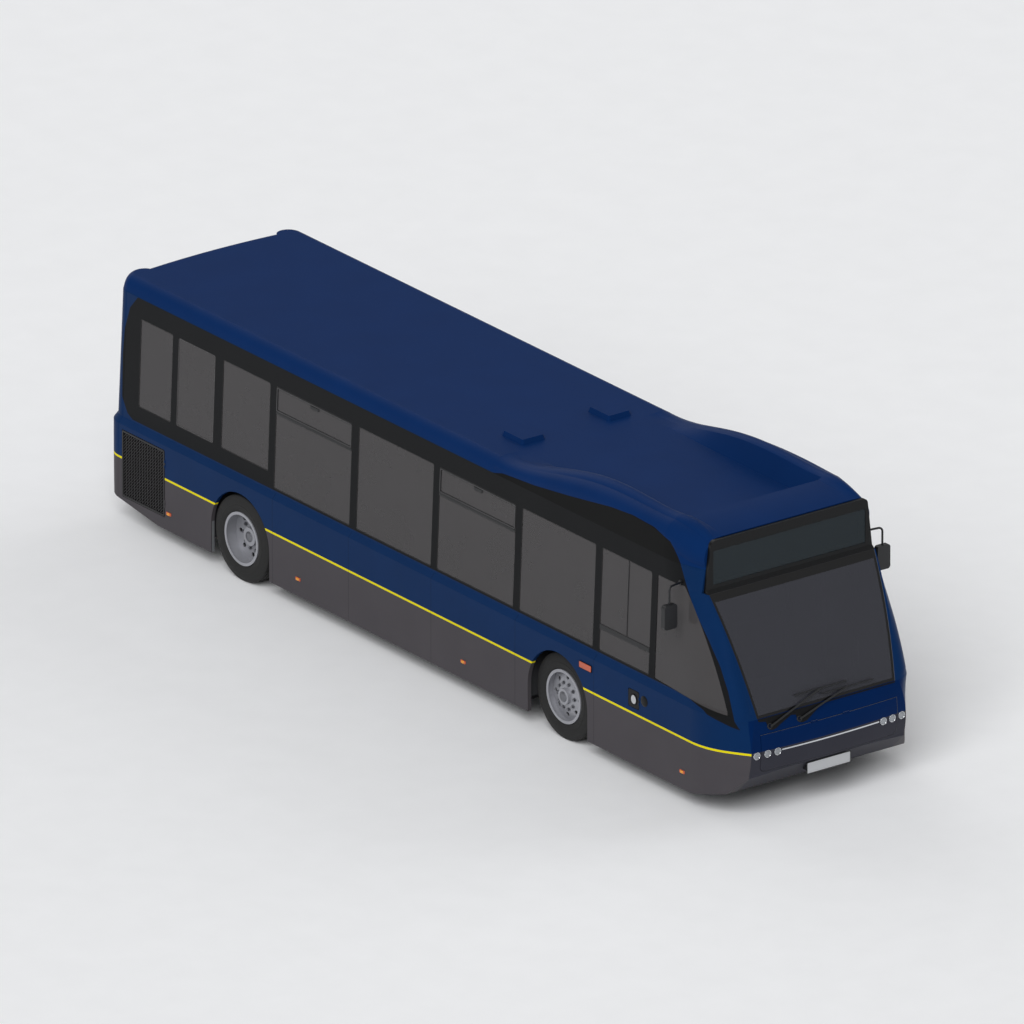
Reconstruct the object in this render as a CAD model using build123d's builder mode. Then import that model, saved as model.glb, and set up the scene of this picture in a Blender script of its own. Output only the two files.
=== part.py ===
from build123d import *
import math
import os

# City bus, low floor, single deck, driver on the right.
# Millimetres. X points forward, Y to the bus's left, Z up. The origin is on the ground,
# at the middle of the length and of the width.

os.makedirs("parts", exist_ok=True)

# Overall sizes
body_length = 10700.0
body_width = 2500.0
rear_axle_x = -2960.0
wheelbase = 5390.0
skirt_z = 162.0
waist_z = 1081.0
ledge_z = 1140.0
belt_half = 1198.0
cant_z = 2498.0
cant_half = 1142.0
roof_z = 2656.0
wall = 45.0
pane = 6.0
pane_recess = 5.0
seat_gap = 0.3
panel_gap = 5.5

front_axle_x = rear_axle_x + wheelbase
half_width = body_width / 2
nose_x = body_length / 2
tail_x = -body_length / 2
lean = (belt_half - cant_half) / (cant_z - ledge_z)

# Where the panels meet along the body
tail_split = -5040.0
tail_curve_x = -5055.0
cab_split = 2998.0
fairing_split = 1200.0
dome_split = 4060.0

# Wheels and tyres
tyre_radius = 465.0
tyre_width = 255.0
rim_radius = 286.0
arch_radius = 500.0
front_wheel_inset = 66.0
twin_gap = 35.0
kingpin_inset = 60.0
steer_angle = 40.0
pin_clearance = 0.3

axle_z = tyre_radius
front_wheel_y = half_width - front_wheel_inset - tyre_width / 2
kingpin_y = front_wheel_y - kingpin_inset
outer_twin_y = half_width - 6.0 - tyre_width / 2
inner_twin_y = outer_twin_y - tyre_width - twin_gap

# Windows: start and end along X, bottom height
window_top = 2285.0
low_sill = 1176.0
high_sill = 1325.0
window_corner = 25.0
saloon_windows = [
    (-4789.0, -4231.0, high_sill),
    (-4141.0, -3501.0, high_sill),
    (-3371.0, -2557.0, high_sill),
    (-2457.0, -1160.0, low_sill),
    (-1053.0, 223.0, low_sill),
    (317.0, 1610.0, low_sill),
    (1708.0, 2949.0, low_sill),
]
driver_window = (3048.0, 3884.0)
quarter_start = 3979.0
quarter_top_x = 4385.0
quarter_mid = (4745.0, 1800.0)
quarter_tip = (5090.0, 1106.0)

# Passenger doorway on the left
door_start = 3095.0
door_end = 4215.0
door_bottom = 364.0
door_top = 2335.0
door_thickness = 36.0

# Windscreen: half width and height at the foot, the middle and the top
screen_foot = (870.0, 1061.0)
screen_mid = (956.0, 1665.0)
screen_top = (1040.0, 2262.0)

# Front levels: height, half width, start of the corner curve, corner point,
# edge of the front face, and how far the face bows forward at the middle
nose_levels = [
    (477.0, half_width, 4649.0, 5080.0, 1126.0, 5265.0, 985.0, 45.0),
    (690.0, half_width, 4649.0, 5080.0, 1126.0, 5300.0, 977.0, 50.0),
    (906.0, half_width, 4649.0, 5105.0, 1117.0, 5290.0, 950.0, 30.0),
    (1061.0, half_width, 4649.0, 5150.0, 1100.0, 5257.0, 910.0, 4.0),
]
waist_level = (waist_z, half_width, 4649.0, 5150.0, 1096.0, 5250.0, 910.0, 4.0)
cab_levels = [
    (ledge_z, belt_half, 4450.0, 5125.0, 1094.0, 5229.0, 915.0, 4.0),
    (1665.0, belt_half - (1665.0 - ledge_z) * lean, 4330.0, 4890.0, 1100.0, 5016.0, 985.0, 4.0),
    (2260.0, belt_half - (2260.0 - ledge_z) * lean, 4130.0, 4430.0, 1116.0, 4683.0, 1053.0, 4.0),
]
header_level = (cant_z, cant_half, dome_split, 4430.0, 1092.0, 4640.0, 1012.0, 4.0)
valance_back = (5080.0, 258.0)
valance_front = (5300.0, 477.0)
skirt_rise_front_x = 4649.0

# Rear levels: height, half width, edge of the rear face, and the face's middle
tail_levels = [
    (skirt_z, half_width, -5277.0, 960.0, -5317.0),
    (700.0, half_width, -5300.0, 960.0, -5341.0),
    (waist_z, half_width, -5297.0, 960.0, -5339.0),
]
tail_upper = [
    (ledge_z, belt_half, -5262.0, 925.0, -5302.0),
    (cant_z, cant_half, -5182.0, 880.0, -5227.0),
]
roof_levels = [
    tail_upper[-1],
    (2551.0, cant_half - 16.0, -5175.0, 872.0, -5218.0),
    (2600.0, cant_half - 38.0, -5160.0, 858.0, -5200.0),
    (2638.0, cant_half - 74.0, -5129.0, 834.0, -5168.0),
    (roof_z, cant_half - 128.0, -5082.0, 800.0, -5120.0),
]
ceiling_level = (roof_z - wall, cant_half - 105.0, -5122.0, 800.0, -5162.0)
skirt_rise_rear_x = -4380.0
tail_bottom = (-5020.0, 253.0)
rear_window_half = 880.0
rear_window_sill = 1450.0
lid_half = 780.0
lid_bottom = 470.0
lid_top = 1040.0

# Openings and small panels
tail_edge_z = 300.0
grille_start = -4997.0
grille_end = -4254.0
grille_bottom = 289.0
grille_top = 1031.0
grille_corner = 20.0
front_panel_half = 975.0
plate_back_x = 4600.0
filler_start = 3610.0
filler_end = 3797.0
filler_z = 873.0
filler_height = 200.0
filler_corner = 24.0
filler_thickness = 14.0
left_quarter_start = 4300.0
flap_half = 863.0
flap_bottom = 490.0
flap_top = 902.0
flap_corner = 70.0
flap_thickness = 28.0
lamp_ys = (914.0, 787.0, 667.0)
lamp_z = 693.0
lamp_radius = 38.0
lamp_depth = 26.0
lamp_proud = 6.0
tail_lamp_y0 = 1040.0
tail_lamp_y1 = 1200.0
tail_lamp_z0 = 675.0
tail_lamp_z1 = 970.0
tail_lamp_depth = 40.0
tray_half = 975.0
tray_back_x = 4480.0
tray_top = 2720.0

# Roof hatches
hatch_x = 920.0
hatch_y = 545.0
hatch_length = 370.0
hatch_width = 310.0
hatch_height = 50.0

# Front roof sections: place, side at the cant rail, side top (y, z), shoulder end (y, z),
# crest (y, z), inner crest (y, z), inner foot, and the height of the deck between the humps
hump_rows = [
    (fairing_split, cant_half, 1127.0, 2545.0, 1050.0, 2646.0, 1000.0, 2659.0, 900.0, 2658.0, 760.0, roof_z),
    (1790.0, cant_half, 1130.0, 2575.0, 1045.0, 2690.0, 985.0, 2712.0, 890.0, 2700.0, 775.0, roof_z),
    (2700.0, cant_half, 1131.0, 2690.0, 1010.0, 2845.0, 915.0, 2889.0, 850.0, 2866.0, 760.0, roof_z),
    (3450.0, cant_half, 1129.0, 2770.0, 1000.0, 2872.0, 915.0, 2907.0, 850.0, 2883.0, 760.0, roof_z),
    (dome_split, cant_half, 1130.0, 2712.0, 1000.0, 2872.0, 915.0, 2909.0, 850.0, 2885.0, 760.0, roof_z),
]
dome_rows = [
    (dome_split, cant_half, 1130.0, 2712.0, 1000.0, 2872.0, 915.0, 2909.0, 860.0, 2892.0, 800.0, 2866.0),
    (4360.0, 1107.0, 1098.0, 2565.0, 985.0, 2835.0, 925.0, 2885.0, 865.0, 2876.0, 800.0, 2856.0),
    (plate_back_x, 1030.0, 1024.0, 2525.0, 975.0, 2765.0, 950.0, 2803.0, 905.0, 2818.0, 800.0, 2824.0),
]

# Hinges of the lids: a point on each hinge line, barrel radius and the middles of its groups of knuckles
knuckle_length = 26.0
hinge_clearance = 0.4
lid_hinge = ((-5339.6, 0.0, lid_top), (0, 1, 0), 8.0, (-200.0, 200.0))
flap_hinge = ((5321.5, 0.0, flap_top), (0, 1, 0), 8.0, (-200.0, 200.0))
grille_hinge = ((grille_end, -half_width, 0.0), (0, 0, 1), 8.0, (440.0, 880.0))
filler_hinge = ((filler_end, -half_width, 0.0), (0, 0, 1), 7.0, (filler_z,))

# Floor
floor_z = 340.0
floor_thickness = 40.0
rear_floor_z = 760.0
step_x = -1900.0
step_depth = 260.0
floor_half = half_width - wall - 1.0
box_half_length = 545.0
box_top_z = 1000.0
box_wall = 14.0
front_box_inner_y = 615.0
rear_box_inner_y = 640.0

# Destination box
plate_front_x = 4640.0
screen_head_x = 4678.0
plate_bottom = screen_top[1] + seat_gap
plate_top = 2813.0
plate_foot_half = 1050.0
plate_head_half = 985.0
plate_corner = 60.0
tray_bottom = 2320.0
tray_wall = 10.0
display_half = 960.0
display_bottom = 2337.0
display_top = 2703.0
display_corner = 18.0

# Radiator behind its door
grille_thickness = 30.0
grille_frame = 26.0
grille_pitch = 46.0
grille_slats = 14
grille_slat_width = 10.0
radiator_y = 1000.0
radiator_depth = 120.0
radiator_box_inner_y = 900.0
radiator_box_margin = 30.0
radiator_box_bottom = 270.0
radiator_box_top = 1060.0

# Door leaves
door_stile = 62.0
door_rail = 90.0
door_jamb_gap = 8.0
door_meeting_gap = 24.0

# Door shafts, their arms and the gear box over the door
shaft_inset = 24.0
shaft_depth = 62.0
door_shaft_radius = 12.0
shaft_foot_z = 341.2
shaft_arms = (560.0, 1350.0, 2180.0)
arm_height = 40.0
gear_bottom = 2345.0
gear_top = 2480.0
gear_depth = 120.0

# Floor edges and wheel boxes
floor_front_x = 5050.0
floor_rear_x = -5240.0
step_rise = 210.0
axle_slot_half = 125.0
axle_slot_top = 640.0

# Chassis
rail_y = 400.0
rail_width = 70.0
rail_bottom = 180.0
rail_front_x = 4800.0
rail_rear_x = -2200.0
rail_depth = 110.0
rail_cross_depth = 80.0
kick_top = 690.0
tail_rail_top = 400.0
tail_rail_x = -5160.0
outrigger_half = 1150.0
cross_members = (-1750.0, -900.0, 0.0, 900.0, 1750.0, 3100.0, 3900.0)
tail_cross_members = (-3800.0, -5120.0)
engine_mounts = (-4900.0, -4150.0)
engine_mount_length = 120.0
engine_bottom = 270.0
engine_height = 410.0
engine_width = 620.0
engine_rear_x = -5045.0
engine_front_x = -3950.0

# Axles
beam_width = 90.0
beam_depth = 90.0
beam_low = 170.0
beam_drop_y = 700.0
beam_rise_y = 865.0
rail_notch_z = 268.0
rail_notch_half = 60.0
boss_height = 110.0
boss_radius = 44.0
kingpin_radius = 18.0
ear_thickness = 26.0
fork_reach = 48.0
fork_web = 18.0
stub_radius = 34.0
stub_end = 1155.0
rear_tube_end = 690.0
rear_tube_radius = 78.0
rear_spindle_radius = 58.0
rear_spindle_end = 1112.0
final_drive_radius = 190.0
hand_hole_count = 8
hand_hole_radius = 24.0
spring_radius = 88.0
spring_waist = 70.0
front_spring_y = 737.0
front_spring_seat_z = 530.0
rear_spring_x = 400.0
rear_spring_y = 530.0
rear_arm_low = 380.0
rear_arm_top = 440.0
rear_arm_width = 130.0
rod_y = 560.0
rod_z = 235.0
rod_radius = 22.0
shaft_radius = 45.0

# Tanks hung under the rear platform
fuel_tank_box = (-4250.0, -3620.0, 480.0, 1130.0, 330.0)
silencer_box = (-4950.0, -4350.0, 480.0, 900.0, 360.0)

# Inside
wheel_centre = (4395.0, -640.0, 1120.0)
column_dir = (math.sin(math.radians(22)), 0.0, -math.cos(math.radians(22)))
column_gap = 10.3
column_radius = 32.0
column_length = 330.0
wheel_ring_radius = 225.0
wheel_grip = 14.0
dash_back_x = 4480.0
dash_front_x = 5400.0
shelf_back_x = 4960.0
shelf_low = 930.0
dash_low = 560.0
dash_top = 1010.0
dash_left_y = -250.0
dash_right_y = -1190.0
driver_seat_x = 3900.0
driver_y = -640.0
driver_base_height = 330.0
partition_x = 3330.0
partition_thickness = 30.0
partition_height = 1550.0
partition_right_y = -1080.0
partition_left_y = -240.0
cab_door_gap = 12.0
cab_door_length = 640.0
cab_door_height = 900.0
cab_door_hinge = ((partition_x + partition_thickness + cab_door_gap / 2, partition_left_y, 0.0), (0, 0, 1), 9.0,
                  (520.0, 1120.0))
seat_width = 430.0
seat_depth = 420.0
seat_pan = 25.0
seat_back_foot = 60.0
seat_row_y = 682.0
pole_radius = 16.0
seat_rows = [
    (1250.0, 1, floor_z, 330.0),
    (470.0, 1, floor_z, 330.0),
    (-310.0, 1, floor_z, 330.0),
    (-1090.0, 1, floor_z, 330.0),
    (1250.0, -1, floor_z, 330.0),
    (470.0, -1, floor_z, 330.0),
    (-310.0, -1, floor_z, 330.0),
    (-1090.0, -1, floor_z, 330.0),
    (-2960.0, 1, box_top_z, 90.0),
    (-2960.0, -1, box_top_z, 90.0),
    (-3900.0, 1, rear_floor_z, 330.0),
    (-3900.0, -1, rear_floor_z, 330.0),
    (-4650.0, 1, rear_floor_z, 330.0),
    (-4650.0, -1, rear_floor_z, 330.0),
]
pole_places = [
    (1750.0, 330.0, floor_z),
    (1750.0, -330.0, floor_z),
    (-1500.0, 330.0, floor_z),
    (-1500.0, -330.0, floor_z),
    (3000.0, 330.0, floor_z),
]

# Mirrors and wipers
mirror_root_x = 4330.0
mirror_root_y = 1080.0
mirror_root_z = 2315.0
mirror_x = 4420.0
mirror_y = 1345.0
mirror_arm_radius = 11.0
mirror_foot_reach = 66.0
mirror_head_top = 2150.0
mirror_height = 260.0
mirror_width = 160.0
mirror_depth = 60.0
wiper_slope = math.radians(19.0)
wiper_normal = (math.cos(wiper_slope), 0.0, math.sin(wiper_slope))
wiper_spindle_radius = 12.0
wiper_blade = 660.0
wiper_pivots = ((5285.0, -734.0, 969.0), (5299.0, -370.0, 965.0))
wiper_roots = (3.2, -1.0)


def cab_outline(level, inset):
    """One level of the cab: both sides, both corners and the front face."""
    z, half, start_x, corner_x, corner_y, edge_x, edge_y, bow = level
    side = half - inset
    corner = (corner_x - 0.4 * inset, corner_y - 0.9 * inset)
    edge = (edge_x - inset, edge_y - 0.5 * inset)
    back_x = cab_split - (10.0 if inset else 0.0)
    with BuildSketch(Plane.XY.offset(z)) as outline:
        with BuildLine():
            Line((back_x, side), (start_x, side))
            flank = TangentArc((start_x, side), corner, tangent=(1, 0))
            TangentArc(corner, edge, tangent=flank % 1)
            mirror(about=Plane.XZ)
            ThreePointArc(edge, (edge[0] + bow, 0), (edge[0], -edge[1]))
            Line((back_x, side), (back_x, -side))
        make_face()
    return outline.sketch


def cab_solid(inset):
    """The cab's whole form from skirt to cant rail, drawn in by an inset."""
    with BuildPart() as form:
        base = cab_outline(nose_levels[0], inset)
        extrude(base, amount=-(nose_levels[0][0] - skirt_z + (10.0 if inset else 0.0)))
        loft([cab_outline(level, inset) for level in nose_levels])
        loft([cab_outline(nose_levels[-1], inset), cab_outline(waist_level, inset)], ruled=True)
        loft([cab_outline(waist_level, inset), cab_outline(cab_levels[0], inset)], ruled=True)
        loft([cab_outline(level, inset) for level in cab_levels])
        loft([cab_outline(cab_levels[-1], inset), cab_outline(header_level, inset)], ruled=True)
        shift = inset * math.sqrt(2.0)
        with BuildSketch(Plane.XZ) as underside:
            with BuildLine():
                if inset:
                    Polyline((valance_back[0] - shift - 300, valance_back[1] - 300),
                             (valance_front[0] - shift, valance_front[1]),
                             (valance_front[0] + 200, valance_front[1]),
                             (valance_front[0] + 200, valance_back[1] - 300), close=True)
                else:
                    Polyline((skirt_rise_front_x, skirt_z), valance_back, valance_front,
                             (valance_front[0] + 200, valance_front[1]), (valance_front[0] + 200, skirt_z - 50),
                             (skirt_rise_front_x, skirt_z - 50), close=True)
            make_face()
        extrude(amount=half_width + 100, both=True, mode=Mode.SUBTRACT)
    return form.part


def tail_outline(level, inset, front_x=None):
    """One level of the tail: both sides, both round corners and the rear face."""
    z, half, edge_x, edge_y, middle_x = level
    side = half - inset
    edge = (edge_x + inset, edge_y - 0.3 * inset)
    if front_x is None:
        front_x = tail_split + (10.0 if inset else 0.0)
    with BuildSketch(Plane.XY.offset(z)) as outline:
        with BuildLine():
            Line((front_x, side), (tail_curve_x, side))
            TangentArc((tail_curve_x, side), edge, tangent=(-1, 0))
            mirror(about=Plane.XZ)
            ThreePointArc(edge, (middle_x + inset, 0), (edge[0], -edge[1]))
            Line((front_x, side), (front_x, -side))
        make_face()
    return outline.sketch


def tail_solid(inset):
    """The tail's whole form from skirt to cant rail, drawn in by an inset."""
    with BuildPart() as form:
        if inset:
            extrude(tail_outline(tail_levels[0], inset), amount=-10.0)
        loft([tail_outline(level, inset) for level in tail_levels])
        loft([tail_outline(tail_levels[-1], inset), tail_outline(tail_upper[0], inset)], ruled=True)
        loft([tail_outline(level, inset) for level in tail_upper], ruled=True)
        if not inset:
            with BuildSketch(Plane.XZ):
                with BuildLine():
                    Polyline((skirt_rise_rear_x, skirt_z), tail_bottom, (tail_x - 50, tail_edge_z),
                             (tail_x - 50, skirt_z - 50), (skirt_rise_rear_x, skirt_z - 50), close=True)
                make_face()
            extrude(amount=half_width + 100, both=True, mode=Mode.SUBTRACT)
    return form.part


def side_profile(x, outer, inner, bottom, top):
    """A strip of the left wall's section between two depths from the outer face."""
    def face_y(depth, z):
        if z <= waist_z:
            return half_width - depth
        return belt_half - (z - ledge_z) * lean - depth
    drop = 0.4 * (inner - outer)
    with BuildSketch(Plane.YZ.offset(x)) as profile:
        with BuildLine():
            if bottom < waist_z:
                Polyline((face_y(outer, bottom), bottom), (face_y(outer, waist_z), waist_z),
                         (face_y(outer, ledge_z), ledge_z), (face_y(outer, top), top),
                         (face_y(inner, top), top), (face_y(inner, ledge_z), ledge_z - drop),
                         (face_y(inner, waist_z), waist_z - drop),
                         (face_y(inner, bottom), bottom), close=True)
            else:
                Polyline((face_y(outer, bottom), bottom), (face_y(outer, top), top),
                         (face_y(inner, top), top), (face_y(inner, bottom), bottom), close=True)
        make_face()
    return profile.sketch


def window_hole(start, end, sill, shrink):
    """A window opening seen from the side."""
    with BuildSketch(Plane.XZ) as hole:
        with Locations(((start + end) / 2, (sill + window_top) / 2)):
            RectangleRounded(end - start - 2 * shrink, window_top - sill - 2 * shrink, window_corner)
    return hole.sketch


def quarter_hole(start, shrink):
    """The cab's front quarter light, whose front edge follows the screen pillar."""
    top_x, tip = quarter_top_x - shrink, (quarter_tip[0] - 3 * shrink, quarter_tip[1] + shrink)
    with BuildSketch(Plane.XZ) as hole:
        with BuildLine():
            Polyline(tip, (start + shrink, low_sill + shrink), (start + shrink, window_top - shrink),
                     (top_x, window_top - shrink))
            ThreePointArc((top_x, window_top - shrink), (quarter_mid[0] - shrink, quarter_mid[1]), tip)
        make_face()
    return hole.sketch


def arch_hole(axle_x):
    """A wheel arch seen from the side, open at the bottom."""
    with BuildSketch(Plane.XZ) as hole:
        with Locations((axle_x, axle_z)):
            Circle(arch_radius)
        with Locations((axle_x, axle_z / 2)):
            Rectangle(2 * arch_radius, axle_z)
    return hole.sketch


def screen_outline(x, shrink):
    """The windscreen seen from the front."""
    foot = (screen_foot[0] - shrink, screen_foot[1] + shrink)
    top = (screen_top[0] - shrink, screen_top[1] - shrink)
    with BuildSketch(Plane.YZ.offset(x)) as outline:
        with BuildLine():
            Line((-foot[0], foot[1]), foot)
            ThreePointArc(foot, (screen_mid[0] - shrink, screen_mid[1]), top)
            Line(top, (-top[0], top[1]))
            ThreePointArc((-top[0], top[1]), (-screen_mid[0] + shrink, screen_mid[1]), (-foot[0], foot[1]))
        make_face()
    return outline.sketch


def hinge_barrels(hinge, own, grow=0.0):
    """Knuckles of a hinge: the two end ones of each group, or with own the one between them."""
    point, direction, radius, middles = hinge
    with BuildPart() as barrels:
        for middle in middles:
            for step in ((0,) if own else (-1, 1)):
                start = middle + step * (knuckle_length + seat_gap) - knuckle_length / 2 - grow
                origin = Vector(*point) + Vector(*direction) * start
                with BuildSketch(Plane(origin=origin, z_dir=direction)):
                    Circle(radius + (hinge_clearance if grow else 0.0))
                extrude(amount=knuckle_length + 2 * grow)
    return barrels.part


# Saloon side walls
with BuildPart() as left_wall:
    extrude(side_profile(tail_split, 0.0, wall, skirt_z, cant_z), amount=cab_split - tail_split)
    for start, end, sill in saloon_windows:
        extrude(window_hole(start, end, sill, 0.0), amount=-half_width, mode=Mode.SUBTRACT)
    for axle_x in (rear_axle_x, front_axle_x):
        extrude(arch_hole(axle_x), amount=-half_width, mode=Mode.SUBTRACT)
    with BuildSketch(Plane.XZ):
        with BuildLine():
            Polyline((skirt_rise_rear_x, skirt_z), tail_bottom, (tail_x - 50, tail_edge_z),
                     (tail_x - 50, skirt_z - 50), (skirt_rise_rear_x, skirt_z - 50), close=True)
        make_face()
    extrude(amount=-half_width, mode=Mode.SUBTRACT)

with BuildPart() as right_wall:
    mirror(left_wall.part, about=Plane.XZ)
    with BuildSketch(Plane.XZ):
        with Locations(((grille_start + grille_end) / 2, (grille_bottom + grille_top) / 2)):
            RectangleRounded(grille_end - grille_start, grille_top - grille_bottom, grille_corner)
    extrude(amount=half_width, mode=Mode.SUBTRACT)
    add(hinge_barrels(grille_hinge, True, seat_gap), mode=Mode.SUBTRACT)
    add(hinge_barrels(grille_hinge, False))

# Saloon glass, set just behind the outer face of its wall
with BuildPart() as left_panes:
    extrude(side_profile(tail_split, pane_recess, pane_recess + pane, ledge_z, cant_z),
            amount=cab_split - tail_split)
    with BuildSketch(Plane.XZ) as panes:
        for start, end, sill in saloon_windows:
            add(window_hole(start, end, sill, seat_gap))
    extrude(amount=-half_width, mode=Mode.INTERSECT)

# Cab: one shell, cut into the two sides and the front panel
cab_form = cab_solid(0.0)
with BuildPart() as cab_shell:
    add(cab_form)
    add(cab_solid(wall), mode=Mode.SUBTRACT)
with BuildPart() as cab_pane:
    add(cab_solid(pane_recess))
    add(cab_solid(pane_recess + pane), mode=Mode.SUBTRACT)


def cab_side_zone(side):
    """Everything of the cab shell that belongs to one side, seen from the front."""
    with BuildSketch(Plane.YZ.offset(cab_split)) as zone:
        with BuildLine():
            Polyline((side * front_panel_half, 0), (side * 1400, 0), (side * 1400, cant_z + 10),
                     (0, cant_z + 10), (0, screen_foot[1]), (side * front_panel_half, screen_foot[1]),
                     close=True)
        make_face()
    return zone.sketch


def cab_side(side):
    """One side of the cab with its screen pillar and no window or door yet."""
    with BuildPart() as panel:
        add(cab_shell.part)
        extrude(cab_side_zone(side), amount=nose_x - cab_split + 50, mode=Mode.INTERSECT)
        extrude(screen_outline(4400.0, 0.0), amount=1200, mode=Mode.SUBTRACT)
        for start_x, half in ((4400.0, plate_head_half), (plate_back_x, half_width)):
            with BuildSketch(Plane.YZ.offset(start_x)):
                with Locations((0, (screen_top[1] + cant_z) / 2 + 10)):
                    Rectangle(2 * half, cant_z - screen_top[1] + 20)
            extrude(amount=1000, mode=Mode.SUBTRACT)
    return panel.part


with BuildPart() as cab_right_side:
    add(cab_side(-1))
    extrude(window_hole(driver_window[0], driver_window[1], low_sill, 0.0), amount=half_width,
            mode=Mode.SUBTRACT)
    extrude(quarter_hole(quarter_start, 0.0), amount=half_width, mode=Mode.SUBTRACT)
    with BuildSketch(Plane.XZ):
        with Locations(((filler_start + filler_end) / 2, filler_z)):
            RectangleRounded(filler_end - filler_start, filler_height, filler_corner)
    extrude(amount=half_width, mode=Mode.SUBTRACT)
    add(hinge_barrels(filler_hinge, True, seat_gap), mode=Mode.SUBTRACT)
    add(hinge_barrels(filler_hinge, False))

with BuildPart() as cab_left_side:
    add(cab_side(1))
    with BuildSketch(Plane.XZ):
        with Locations(((door_start + door_end) / 2, (door_bottom + door_top) / 2)):
            Rectangle(door_end - door_start, door_top - door_bottom)
    extrude(amount=-half_width, mode=Mode.SUBTRACT)
    extrude(quarter_hole(left_quarter_start, 0.0), amount=-half_width, mode=Mode.SUBTRACT)

with BuildPart() as filler_flap:
    with BuildSketch(Plane.XZ.offset(half_width - filler_thickness)):
        with Locations(((filler_start + filler_end) / 2, filler_z)):
            RectangleRounded(filler_end - filler_start - 2 * panel_gap, filler_height - 2 * panel_gap,
                             filler_corner)
    extrude(amount=filler_thickness)
    add(hinge_barrels(filler_hinge, False, seat_gap), mode=Mode.SUBTRACT)
    add(hinge_barrels(filler_hinge, True))


def cab_light(outline, side):
    """One pane of the cab's side, cut from the thin shell by its outline."""
    with BuildPart() as light:
        add(cab_pane.part)
        extrude(outline, amount=-side * half_width, mode=Mode.INTERSECT)
    return light.part


with BuildPart() as side_glass:
    add(left_panes.part)
    mirror(left_panes.part, about=Plane.XZ)
    add(cab_light(window_hole(driver_window[0], driver_window[1], low_sill, seat_gap), -1))
    add(cab_light(quarter_hole(quarter_start, seat_gap), -1))
    add(cab_light(quarter_hole(left_quarter_start, seat_gap), 1))

with BuildPart() as windscreen:
    add(cab_pane.part)
    extrude(screen_outline(4400.0, seat_gap), amount=1200, mode=Mode.INTERSECT)


def flap_outline(x, shrink):
    """The front flap seen from the front, with two round lower corners."""
    with BuildSketch(Plane.YZ.offset(x)) as outline:
        with Locations((0, (flap_bottom + flap_top) / 2)):
            Rectangle(2 * (flap_half - shrink), flap_top - flap_bottom - 2 * shrink)
        fillet(outline.vertices().group_by(Axis.Y)[0], flap_corner - shrink)
    return outline.sketch


with BuildPart() as front_panel:
    add(cab_shell.part)
    with BuildSketch(Plane.YZ.offset(cab_split + 1500)):
        with Locations((0, screen_foot[1] / 2)):
            Rectangle(2 * front_panel_half, screen_foot[1])
    extrude(amount=1200, mode=Mode.INTERSECT)
    extrude(flap_outline(5100.0, 0.0), amount=400, mode=Mode.SUBTRACT)
    with BuildSketch(Plane.YZ.offset(5200)):
        with Locations((lamp_ys[0], lamp_z), (-lamp_ys[0], lamp_z)):
            Circle(lamp_radius + seat_gap)
    extrude(amount=200, mode=Mode.SUBTRACT)
    add(hinge_barrels(flap_hinge, True, seat_gap), mode=Mode.SUBTRACT)
    add(hinge_barrels(flap_hinge, False))

with BuildPart() as front_flap:
    add(cab_form)
    add(cab_solid(flap_thickness), mode=Mode.SUBTRACT)
    extrude(flap_outline(5100.0, panel_gap), amount=400, mode=Mode.INTERSECT)
    with BuildSketch(Plane.YZ.offset(5200)):
        with Locations(*[(side * y, lamp_z) for y in lamp_ys[1:] for side in (-1, 1)]):
            Circle(lamp_radius + seat_gap)
    extrude(amount=200, mode=Mode.SUBTRACT)
    add(hinge_barrels(flap_hinge, False, seat_gap), mode=Mode.SUBTRACT)
    add(hinge_barrels(flap_hinge, True))


def lamp_solids(places):
    """Round lamps whose domed lens stands a little proud of the front face."""
    with BuildPart() as lamps:
        for y, z in places:
            face_x = nose_levels[1][5] + nose_levels[1][7] * (1 - (y / nose_levels[1][6]) ** 2)
            with BuildSketch(Plane.YZ.offset(face_x - lamp_depth)):
                with Locations((y, z)):
                    Circle(lamp_radius)
            extrude(amount=lamp_depth + lamp_proud)
    return lamps.part


with BuildPart() as headlamps_outer:
    add(lamp_solids([(side * lamp_ys[0], lamp_z) for side in (-1, 1)]))
with BuildPart() as headlamps_inner:
    add(lamp_solids([(side * y, lamp_z) for y in lamp_ys[1:] for side in (-1, 1)]))

# Tail: one shell with the rear window, the engine opening and the lamp recesses
tail_form = tail_solid(0.0)


def rear_rect(x, half, bottom, top, corner):
    """A round-cornered opening seen from behind."""
    with BuildSketch(Plane.YZ.offset(x)) as outline:
        with Locations((0, (bottom + top) / 2)):
            RectangleRounded(2 * half, top - bottom, corner)
    return outline.sketch


def lamp_zone(shrink):
    """The two upright lamp recesses in the rear corners."""
    with BuildSketch(Plane.YZ.offset(tail_x - 20)) as zone:
        with Locations(*[(side * (tail_lamp_y0 + tail_lamp_y1) / 2, (tail_lamp_z0 + tail_lamp_z1) / 2)
                         for side in (-1, 1)]):
            Rectangle(tail_lamp_y1 - tail_lamp_y0 - 2 * shrink, tail_lamp_z1 - tail_lamp_z0 - 2 * shrink)
    return zone.sketch


with BuildPart() as tail_end:
    add(tail_form)
    add(tail_solid(wall), mode=Mode.SUBTRACT)
    extrude(rear_rect(tail_x - 20, rear_window_half, rear_window_sill, window_top, 60.0), amount=300,
            mode=Mode.SUBTRACT)
    extrude(rear_rect(tail_x - 20, lid_half, lid_bottom, lid_top, 40.0), amount=300, mode=Mode.SUBTRACT)
    extrude(lamp_zone(0.0), amount=300, mode=Mode.SUBTRACT)
    add(hinge_barrels(lid_hinge, True, seat_gap), mode=Mode.SUBTRACT)
    add(hinge_barrels(lid_hinge, False))

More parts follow.
